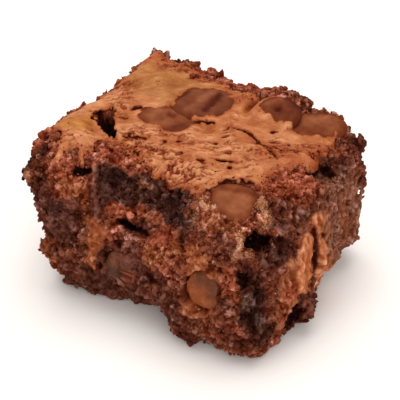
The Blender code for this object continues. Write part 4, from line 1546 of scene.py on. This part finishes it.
def make_crust(settings):
    """The baked crust: a cracked and pitted sheet over the crumb."""
    top = top_map()
    crust = crust_sheet(top)
    points = mesh_points(crust.data)
    margin_grid = np.minimum(top.margin, top.chips + top.lap)
    margin = top.at(margin_grid, points)
    set_points(crust.data, pulled_to_edge(points, margin, margin_grid, top))
    corners = read_all(crust.data.polygons, "vertices", 4, np.int32)
    choose(crust, "FACE", margin[corners].mean(1) <= 0)
    with editing(crust):
        bpy.ops.mesh.delete(type="FACE")
    drop_small_islands(crust, FEWEST_FACES)
    paint(crust.data, "tint", crust_tint(mesh_points(crust.data), top, margin_grid, settings))
    crust.vertex_groups.new(name="under")
    apply_modifier(
        crust, "SOLIDIFY", thickness=settings.thickness, offset=-1.0, shell_vertex_group="under"
    )
    limit_triangles(crust, vertex_group="under")
    return crust


def crust_tint(points, top, margin_grid, settings):
    """Colour of the crust: tinted plates, rusty crumbled bands and edges, dark slits and dents painted with
    shade, and painted shadow under the flakes' edges and round the chips.
    """
    flat = flat_points(points[:, :2])
    warped = points[:, :2] + 1.2 * drift(flat, 2.6, (34, 35))
    pale = 0.7 * eased(0.5 + 1.6 * rough(flat, 6.0, 32))
    tint = blended(np.array(settings.tan), settings, "pale", pale)
    for start, end, reach, name, share in CRUST_TINTS:
        weight = share * eased((1.3 - streak_distance(warped, start, end) / reach) / 0.6)
        tint = blended(tint, settings, name, weight)
    edge = 0.8 * fading(top.at(margin_grid, points), 0.35)
    outer = fading(top.at(top.outline, points), 1.3) * eased(0.6 + 1.5 * rough(flat, 1.8, 33))
    crumbled = top.at(top.crumbled, points) * eased(0.65 + 1.6 * rough(flat, 1.3, 36))
    tint = blended(tint, settings, "rust", np.maximum.reduce((edge, outer, 0.85 * crumbled)))
    # Painted shadow round each chip and under the flakes' edges, and painted shade in the dashes, all in the
    # slit colour.
    chip_rim_painted_shadow = fading(top.at(top.chips + top.lap, points), 0.28) * eased(0.7 + rough(flat, 1.6, 43))
    dashes, painted_shadows = top.at(top.dashes, points), top.at(top.painted_shadows, points)
    dark = np.maximum.reduce((0.9 * dashes, 0.75 * chip_rim_painted_shadow, 0.95 * painted_shadows))
    tint = blended(tint, settings, "slit", dark)
    # Painted shade in the crust's dips and a slight painted highlight on its rises.
    tone = 1.5 * np.clip(top.at(top.relief, points), -0.5, 0.14)
    tone += 0.16 * rough(flat, 2.4, 37) + 0.22 * rough(flat_points(points[:, :2], 2.5), 1.1, 38)
    tone += 0.10 * rough(flat, 0.6, 39) * (1 + 1.5 * crumbled)
    return toned(tint, tone)


def drop_small_islands(obj, fewest):
    """Deletes loose bits of the sheet with fewer faces than this."""
    bm = bmesh.new()
    bm.from_mesh(obj.data)
    seen, doomed = set(), []
    for face in bm.faces:
        if face in seen:
            continue
        island, waiting = [], [face]
        seen.add(face)
        while waiting:
            now = waiting.pop()
            island.append(now)
            for edge in now.edges:
                for other in edge.link_faces:
                    if other not in seen:
                        seen.add(other)
                        waiting.append(other)
        if len(island) < fewest:
            doomed += island
    bmesh.ops.delete(bm, geom=doomed, context="FACES")
    bm.to_mesh(obj.data)
    bm.free()


# ---------------------------------------------------------------- chips


def make_top_chip(name, settings):
    """A chip in the top: a rounded drop pressed to its outline and laid on its seat."""
    outline, seat, tint, rise, marks = TOP_CHIPS[name]
    chip = primitive(
        bpy.ops.mesh.primitive_uv_sphere_add, name + "_chocolate", segments=96, ring_count=48, radius=1 * MM
    )
    ball = mesh_points(chip.data)
    middle, radius = round_outline(outline)
    away, reach = polar(ball, radius)
    away = np.clip(away, 0, 1)
    points = np.pad(ball[:, :2] * (reach + CHIP_SPREAD)[:, None] + middle, ((0, 0), (0, 1)))
    over = ball[:, 2] >= 0
    tone = layers(points, (0.36, 3.0, 95), (0.20, 1.2, 96), (0.10, 0.6, 90))
    # Painted shade: the chip darkens towards its rim, where it meets the crust.
    tone -= 0.5 * eased((away - 0.66) / 0.28)
    face = np.where(over, chip_profile(away, rise), -CHIP_EDGE - 1.6 * dome(away))
    points[:, 2] = seat_height(seat, middle, points[:, :2]) + face
    relief = layers(points, (0.38, 2.6, 93), (0.12, 0.9, 94))
    uneven = points[:, :2] + 0.35 * drift(points, 1.3, (91, 92))
    # Painted highlight and shade: each mark's tone makes its swelling paler or its crease darker.
    for start, end, near, push, shade in marks:
        weight = np.exp(-((streak_distance(uneven, start, end) / near) ** 2))
        relief += push * weight
        tone += 1.5 * shade * weight
    points[:, 2] += np.where(over, relief * (1 - away**3), 0)
    set_points(chip.data, points)
    paint(chip.data, "tint", toned(np.array(getattr(settings, tint)), tone))
    return chip


def make_side_chip(name, tint, shade, way, settings):
    """A chip cut through by the torn side: its CAD drop, made finer, flattened, sunk and worn."""
    chip = merged_copy(name, name + "_chocolate")
    apply_modifier(chip, "SUBSURF", levels=2, render_levels=2)
    points = mesh_points(chip.data)
    middle, axes, halves = chip_frame(name)
    local = (points - middle) @ axes.T / halves
    over = local[:, 2] > FLAT_FROM
    local[over, 2] = FLAT_FROM + (local[over, 2] - FLAT_FROM) * FLAT_SLOPE
    local[:, 2] -= SUNK_BY
    local *= halves
    local += drift(points, 2.6, (97, 98, 99)) * (0.7, 0.7, 0.35)
    local += drift(points, 1.1, (87, 88, 89)) * (0.25, 0.25, 0.14)
    set_points(chip.data, local @ axes + middle)
    # Painted shade: each cut chip darkens towards one side, along its way.
    toward = (points - middle) @ np.array(way) / halves.max()
    share = eased(0.35 + 0.9 * toward + 0.5 * rough(points, 2.0, 86))
    tints = blended(np.array(getattr(settings, tint)), settings, shade, share)
    paint(chip.data, "tint", toned(tints, layers(points, (0.26, 1.6, 85), (0.20, 0.7, 84))))
    return chip


# ---------------------------------------------------------------- loose crumbs


def hidden(points):
    """Whether points are under the crust or a chip, in a cavity's mouth or on the base."""
    top = top_map()
    near_top = points[:, 2] > top.at(top.height, points) - TOP_DEPTH
    covered = near_top & ((top.at(top.margin, points) > 0.2) | (top.at(top.chips, points) < 0.3))
    return covered | (side_chip_distance(points) < 0.1) | (points[:, 2] < 0.3) | in_cavity(points)


def open_side(points, normals):
    """Everywhere but the base, the smeared places and under the crust."""
    return np.where(hidden(points), 0.0, grain_kept(points) ** 3 + 0.004)


def near_crust(points, normals):
    """Just below the crust's edge and in its holes."""
    top = top_map()
    high = eased((points[:, 2] - top.at(top.height, points) + 5) / 5)
    return np.where(hidden(points), 0.0, high * grain_kept(points) ** 3 + 0.002)


def on_crust(points, normals):
    """In the crust's crumbled bands, along its edge and round the chips."""
    top = top_map()
    edge = fading(top.at(top.outline, points), 1.2)
    rim = 0.4 * fading(top.at(top.chips + top.lap, points), 0.5)
    likely = np.maximum.reduce((top.at(top.crumbled, points) ** 3, edge, rim))
    return np.where(normals[:, 2] < 0.2, 0.0, likely + 0.002)


def sugary(points, normals):
    """In the sugary fringes."""
    near = [weight for zone, weight in zone_weights(points) if zone.tint == "beige"]
    return np.where(hidden(points), 0.0, np.max(near, axis=0) + 0.002)


Loose = namedtuple("Loose", "name number carrier likely smallest largest rings flat tints share")
# Kinds of loose crumbs: (name, setting for their number, piece that carries them, where
# they lie, smallest and largest radius, how finely they are made, whether they lie flat,
# colours of their own, how much those count).
LOOSE_KINDS = (
    Loose("crumbs_coarse", "coarse", "brownie_crumb", open_side, 0.35, 0.9, 2, False, (), 0),
    Loose("crumbs_fine", "fine", "brownie_crumb", open_side, 0.16, 0.48, 1, False, (), 0),
    Loose("crumbs_finest", "fine", "brownie_crumb", open_side, 0.12, 0.30, 1, False, (), 0),
    Loose(
        "flakes_under_crust", "crust", "brownie_crumb", near_crust, 0.3, 0.8, 1, True,
        (("crumb", "red"), ("crumb", "brown"), ("crumb", "orange"), ("crumb", "pink")), 0.35,
    ),
    Loose(
        "crumbs_on_crust", "crust", "crust", on_crust, 0.12, 0.42, 1, True,
        (("crust", "rust"), ("crust", "tan"), ("crumb", "red"), ("crust", "slit")), 0.85,
    ),
    Loose(
        "grains_beige", "beige", "brownie_crumb", sugary, 0.10, 0.28, 1, False,
        (("crumb", "beige"), ("crumb", "beige"), ("crumb", "smear")), 0.85,
    ),
)


def own_tints(kind, scene):
    """The colours that a kind of loose crumbs has of its own."""
    groups = {"crumb": scene.brownie_crumb, "crust": scene.brownie_crust}
    return np.array([tuple(getattr(groups[group], name)) for group, name in kind.tints])


def make_loose(kind, scene):
    """Loose crumbs of one kind, half sunk in what carries them."""
    rng = rng_for(kind.name)
    number = getattr(scene.brownie_loose, kind.number)
    places, normals = scattered(piece(kind.carrier).data, number, kind.likely, rng)
    radius = kind.smallest + (kind.largest - kind.smallest) * rng.random(number) ** 2.2
    stretch = radius[:, None] * rng.uniform(0.55, 1.35, (number, 3))
    turns = random_turns(number, rng)
    if kind.flat:
        turns = lying_turns(unit(normals + rng.normal(size=normals.shape) * 0.35), rng)
        stretch[:, 2] *= 0.35
    places = places + normals * (radius * rng.uniform(-0.1, 0.45, number))[:, None]
    shapes = crumb_shapes(kind.name, 8, kind.rings, 0.5, kept=0.6 if kind.rings > 1 else 1.0)
    points, triangles, owners = joined_copies(shapes, places, turns, stretch, rng)
    points[:, 2] = np.maximum(points[:, 2], LOOSE_BASE)
    obj = new_object(kind.name, mesh_from(kind.name, points, triangles))
    tone = np.clip(rng.normal(size=number) * 0.42, -1.1, 0.6)
    tint, wet = crumb_finish_at(places, scene.brownie_crumb, tone)
    if kind.tints:
        own = own_tints(kind, scene)[rng.integers(len(kind.tints), size=number)]
        tint = (1 - kind.share) * tint + kind.share * toned(own, tone * 0.6)
    paint(obj.data, "tint", tint[owners])
    paint(obj.data, "wet", wet[owners])
    paint(obj.data, "grain", np.ones(len(owners)))
    return obj


# ---------------------------------------------------------------- finishes


class Finish:
    """A material being made: its nodes, its links and its shader."""

    def __init__(self, name):
        self.material = bpy.data.materials.new(name)
        self.material.use_nodes = True
        self.tree = self.material.node_tree
        self.shader = self.tree.nodes["Principled BSDF"]
        self.place = self.add("ShaderNodeTexCoord").outputs["Object"]

    def add(self, kind, **values):
        """A new node with some of its values set."""
        node = self.tree.nodes.new(kind)
        for key, value in values.items():
            setattr(node, key, value)
        return node

    def join(self, source, target):
        """Links an output to an input."""
        self.tree.links.new(source, target)

    def put(self, socket, value):
        """Links a socket to another, or sets its value."""
        if isinstance(value, bpy.types.NodeSocket):
            self.join(value, socket)
        else:
            socket.default_value = value

    def read(self, name, output="Fac"):
        """A painted attribute."""
        return self.add("ShaderNodeAttribute", attribute_name=name).outputs[output]

    def noise(self, millimetres, detail=4.0, roughness=0.6, stretch=(1, 1, 1), turn=0.0):
        """Cloudy noise of a size, stretched along its turned axes."""
        mapping = self.add("ShaderNodeMapping")
        self.join(self.place, mapping.inputs["Vector"])
        mapping.inputs["Rotation"].default_value = (0, 0, turn)
        mapping.inputs["Scale"].default_value = [1 / (millimetres * MM * share) for share in stretch]
        texture = self.add("ShaderNodeTexNoise")
        self.join(mapping.outputs["Vector"], texture.inputs["Vector"])
        texture.inputs["Scale"].default_value = 1.0
        texture.inputs["Detail"].default_value = detail
        texture.inputs["Roughness"].default_value = roughness
        return texture.outputs["Fac"]

    def span(self, value, low, high, to_low=0.0, to_high=1.0):
        """A value's range turned into another range."""
        node = self.add("ShaderNodeMapRange")
        for key, number in (("From Min", low), ("From Max", high), ("To Min", to_low), ("To Max", to_high)):
            node.inputs[key].default_value = number
        self.join(value, node.inputs["Value"])
        return node.outputs["Result"]

    def mix(self, share, first, second, blend="MIX"):
        """Two colours mixed."""
        node = self.add("ShaderNodeMix", data_type="RGBA", blend_type=blend)
        for socket, value in zip((node.inputs[0], node.inputs[6], node.inputs[7]), (share, first, second)):
            if isinstance(value, tuple) and len(value) == 3:
                value = (*value, 1)
            self.put(socket, value)
        return node.outputs[2]

    def times(self, first, second):
        """Two values multiplied."""
        node = self.add("ShaderNodeMath", operation="MULTIPLY")
        self.join(first, node.inputs[0])
        self.join(second, node.inputs[1])
        return node.outputs[0]

    def varied(self, base, cloud, low, high, darkest, palest):
        """A colour made darker or paler by a noise, each channel on its own."""
        return self.mix(1.0, base, self.mix(self.span(cloud, low, high), darkest, palest), "MULTIPLY")

    def bump(self, height, millimetres, below=None):
        """A relief of a depth, over the relief below it if there is one."""
        node = self.add("ShaderNodeBump")
        node.inputs["Distance"].default_value = millimetres * MM
        self.join(height, node.inputs["Height"])
        if below is not None:
            self.join(below, node.inputs["Normal"])
        return node.outputs["Normal"]

    def done(self, tint, roughness, normal, **fixed):
        """The material, with its shader linked up."""
        self.join(tint, self.shader.inputs["Base Color"])
        self.put(self.shader.inputs["Roughness"], roughness)
        self.join(normal, self.shader.inputs["Normal"])
        for key, value in fixed.items():
            self.shader.inputs[key.replace("_", " ")].default_value = value
        return self.material


def crumb_finish(name, grain):
    """Moist chocolate crumb. Its tint, its wetness and how grainy it is are painted on the mesh."""
    finish = Finish(name)
    wet, grainy = finish.read("wet"), finish.read("grain")
    cloudy = finish.noise(1.3, 3.0)
    fine = finish.noise(0.40, 3.0, 0.7)
    tint = finish.read("tint", "Color")
    tint = finish.varied(tint, cloudy, 0.3, 0.7, (0.66, 0.54, 0.46), (1.18, 1.28, 1.36))
    speckled = finish.varied(tint, fine, 0.32, 0.68, (0.76, 0.65, 0.58), (1.20, 1.32, 1.40))
    tint = finish.mix(grainy, tint, speckled)
    roughness = finish.span(wet, 0.0, 1.0, 0.80, 0.42)
    roughness = finish.times(roughness, finish.span(fine, 0.3, 0.7, 0.85, 1.15))
    normal = finish.bump(finish.times(finish.noise(0.9, 4.0, 0.65), grainy), 0.30 * grain)
    normal = finish.bump(finish.times(fine, grainy), 0.18 * grain, normal)
    return finish.done(tint, roughness, normal, Specular_IOR_Level=0.05)


def crust_finish():
    """Dry baked crust: its painted tint, mottled and finely wrinkled across the view."""
    finish = Finish("baked_crust")
    turn = -math.atan2(ACROSS[1], ACROSS[0])
    streaks = finish.noise(0.8, 4.0, 0.65, stretch=(3.4, 1, 1), turn=turn)
    fine = finish.noise(0.35, 2.0, 0.6)
    tint = finish.read("tint", "Color")
    tint = finish.varied(tint, streaks, 0.3, 0.7, (0.86, 0.78, 0.70), (1.10, 1.16, 1.22))
    tint = finish.varied(tint, fine, 0.3, 0.7, (0.90, 0.84, 0.80), (1.07, 1.11, 1.14))
    normal = finish.bump(fine, 0.08, finish.bump(streaks, 0.20))
    roughness = finish.span(finish.noise(6.0, 3.0), 0.3, 0.7, 0.52, 0.68)
    return finish.done(tint, roughness, normal, Specular_IOR_Level=0.08)


def chip_finish(name, worn=1.0):
    """Baked milk chocolate with a soft sheen: its painted tint, slightly mottled and worn."""
    finish = Finish(name)
    wide = finish.noise(2.4, 3.0)
    fine = finish.noise(0.5, 3.0, 0.6)
    tint = finish.read("tint", "Color")
    tint = finish.varied(tint, wide, 0.34, 0.66, (0.90, 0.84, 0.78), (1.07, 1.11, 1.16))
    tint = finish.varied(tint, fine, 0.3, 0.7, (0.94, 0.91, 0.88), (1.05, 1.07, 1.10))
    normal = finish.bump(fine, 0.05 * worn, finish.bump(wide, 0.15 * worn))
    return finish.done(tint, finish.span(fine, 0.3, 0.7, 0.46, 0.60), normal, Specular_IOR_Level=0.06)


# ---------------------------------------------------------------- operators


def stage_floor(settings):
    """The pale floor."""
    floor = primitive(bpy.ops.mesh.primitive_plane_add, "floor", size=6.0, location=(0, 0, 0))
    finish = Finish("pale_floor")
    grain = finish.noise(40.0, 2.0)
    base = tuple(settings.floor)
    tint = finish.mix(grain, base, tuple(part * 0.985 for part in base))
    floor.data.materials.append(finish.done(tint, 0.6, finish.bump(grain, 0.01)))
    floor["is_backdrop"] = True


def stage_light(name, place, side, power):
    """A square soft light that faces the brownie."""
    data = bpy.data.lights.new(name, "AREA")
    data.size = side
    data.energy = power
    light = new_object(name, data)
    light.location = place
    light.rotation_euler = (-Vector(place)).to_track_quat("-Z", "Y").to_euler()


def stage_room(scene):
    """The even light of the room."""
    scene.world = bpy.data.worlds.new("soft_room")
    scene.world.use_nodes = True
    background = scene.world.node_tree.nodes["Background"]
    background.inputs["Color"].default_value = ROOM_COLOUR
    background.inputs["Strength"].default_value = ROOM_LIGHT


def stage_camera(scene, settings):
    """The camera, looking at the middle of the view."""
    turn, up = settings.azimuth, settings.elevation
    back = Vector((math.sin(turn) * math.cos(up), -math.cos(turn) * math.cos(up), math.sin(up)))
    data = bpy.data.cameras.new("camera")
    data.sensor_width = 36
    data.lens = settings.lens
    data.clip_start, data.clip_end = 0.01, 10
    camera = new_object("camera", data)
    camera.location = Vector(VIEW_MIDDLE) * MM + back * settings.distance
    camera.rotation_euler = (-back).to_track_quat("-Z", "Y").to_euler()
    scene.camera = camera


class BROWNIE_OT_stage(bpy.types.Operator):
    """Add the pale floor, the soft light and the camera"""

    bl_idname = "brownie.stage"
    bl_label = "Stage"

    def execute(self, context):
        settings = context.scene.brownie_stage
        stage_floor(settings)
        for light in LIGHTS:
            stage_light(*light)
        stage_room(context.scene)
        stage_camera(context.scene, settings)
        context.scene.view_settings.view_transform = "Standard"
        return {"FINISHED"}


class BROWNIE_OT_crumb(bpy.types.Operator):
    """Model the crumb with its lumps, cavities and smeared streaks"""

    bl_idname = "brownie.crumb"
    bl_label = "Crumb"

    def execute(self, context):
        crumb = make_crumb(context.scene.brownie_crumb)
        crumb.name = crumb.data.name = "brownie_crumb"
        finished(crumb, crumb_finish("moist_crumb", 1.0), ["brownie"])
        return {"FINISHED"}


class BROWNIE_OT_crust(bpy.types.Operator):
    """Lay the cracked baked crust over the top"""

    bl_idname = "brownie.crust"
    bl_label = "Crust"

    def execute(self, context):
        finished(make_crust(context.scene.brownie_crust), crust_finish())
        return {"FINISHED"}


class BROWNIE_OT_chips(bpy.types.Operator):
    """Model the chocolate chips of the top and of the front side"""

    bl_idname = "brownie.chips"
    bl_label = "Chocolate chips"

    def execute(self, context):
        settings = context.scene.brownie_chips
        for name in TOP_CHIPS:
            finished(make_top_chip(name, settings), chip_finish(name + "_finish"), [name])
        for name, *looks in SIDE_CHIPS:
            chip = make_side_chip(name, *looks, settings)
            finished(chip, chip_finish(name + "_finish", 2.5), [name])
        return {"FINISHED"}


class BROWNIE_OT_loose_crumbs(bpy.types.Operator):
    """Scatter the loose crumbs and flakes over the sides, the rims and the top"""

    bl_idname = "brownie.loose_crumbs"
    bl_label = "Loose crumbs"

    def execute(self, context):
        for kind in LOOSE_KINDS:
            finish = crumb_finish(kind.name + "_finish", 0.6)
            finished(make_loose(kind, context.scene), finish, smooth=False)
        return {"FINISHED"}


class BROWNIE_PT_panel(bpy.types.Panel):
    """Steps that build the brownie's looks, in order"""

    bl_idname = "BROWNIE_PT_panel"
    bl_label = "Brownie"
    bl_space_type = "VIEW_3D"
    bl_region_type = "UI"
    bl_category = "Brownie"

    def draw(self, context):
        for step in STEPS:
            self.layout.operator(step.bl_idname)
        for group, _ in SETTINGS:
            box = self.layout.box()
            settings = getattr(context.scene, group)
            for name in settings.bl_rna.properties.keys():
                if name not in ("rna_type", "name"):
                    box.prop(settings, name)


STEPS = (BROWNIE_OT_stage, BROWNIE_OT_crumb, BROWNIE_OT_crust, BROWNIE_OT_chips, BROWNIE_OT_loose_crumbs)
SETTINGS = (
    ("brownie_crumb", CrumbSettings),
    ("brownie_crust", CrustSettings),
    ("brownie_chips", ChipSettings),
    ("brownie_loose", LooseSettings),
    ("brownie_stage", StageSettings),
)


def register():
    """Makes the settings, the operators and the panel known to Blender."""
    for group, settings in SETTINGS:
        bpy.utils.register_class(settings)
        setattr(bpy.types.Scene, group, PointerProperty(type=settings))
    for made in (*STEPS, BROWNIE_PT_panel):
        bpy.utils.register_class(made)


def unregister():
    """Takes back what register() did."""
    for made in (BROWNIE_PT_panel, *reversed(STEPS)):
        bpy.utils.unregister_class(made)
    for group, settings in reversed(SETTINGS):
        delattr(bpy.types.Scene, group)
        bpy.utils.unregister_class(settings)


def main():
    """Builds the brownie's looks."""
    register()
    bpy.ops.brownie.stage()
    bpy.ops.brownie.crumb()
    bpy.ops.brownie.crust()
    bpy.ops.brownie.chips()
    bpy.ops.brownie.loose_crumbs()
    boxes = {"cad": CAD_BOX, "visual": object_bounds()}
    {name: [list(corner) for corner in box] for name, box in boxes.items()}


if __name__ == "__main__":
    main()
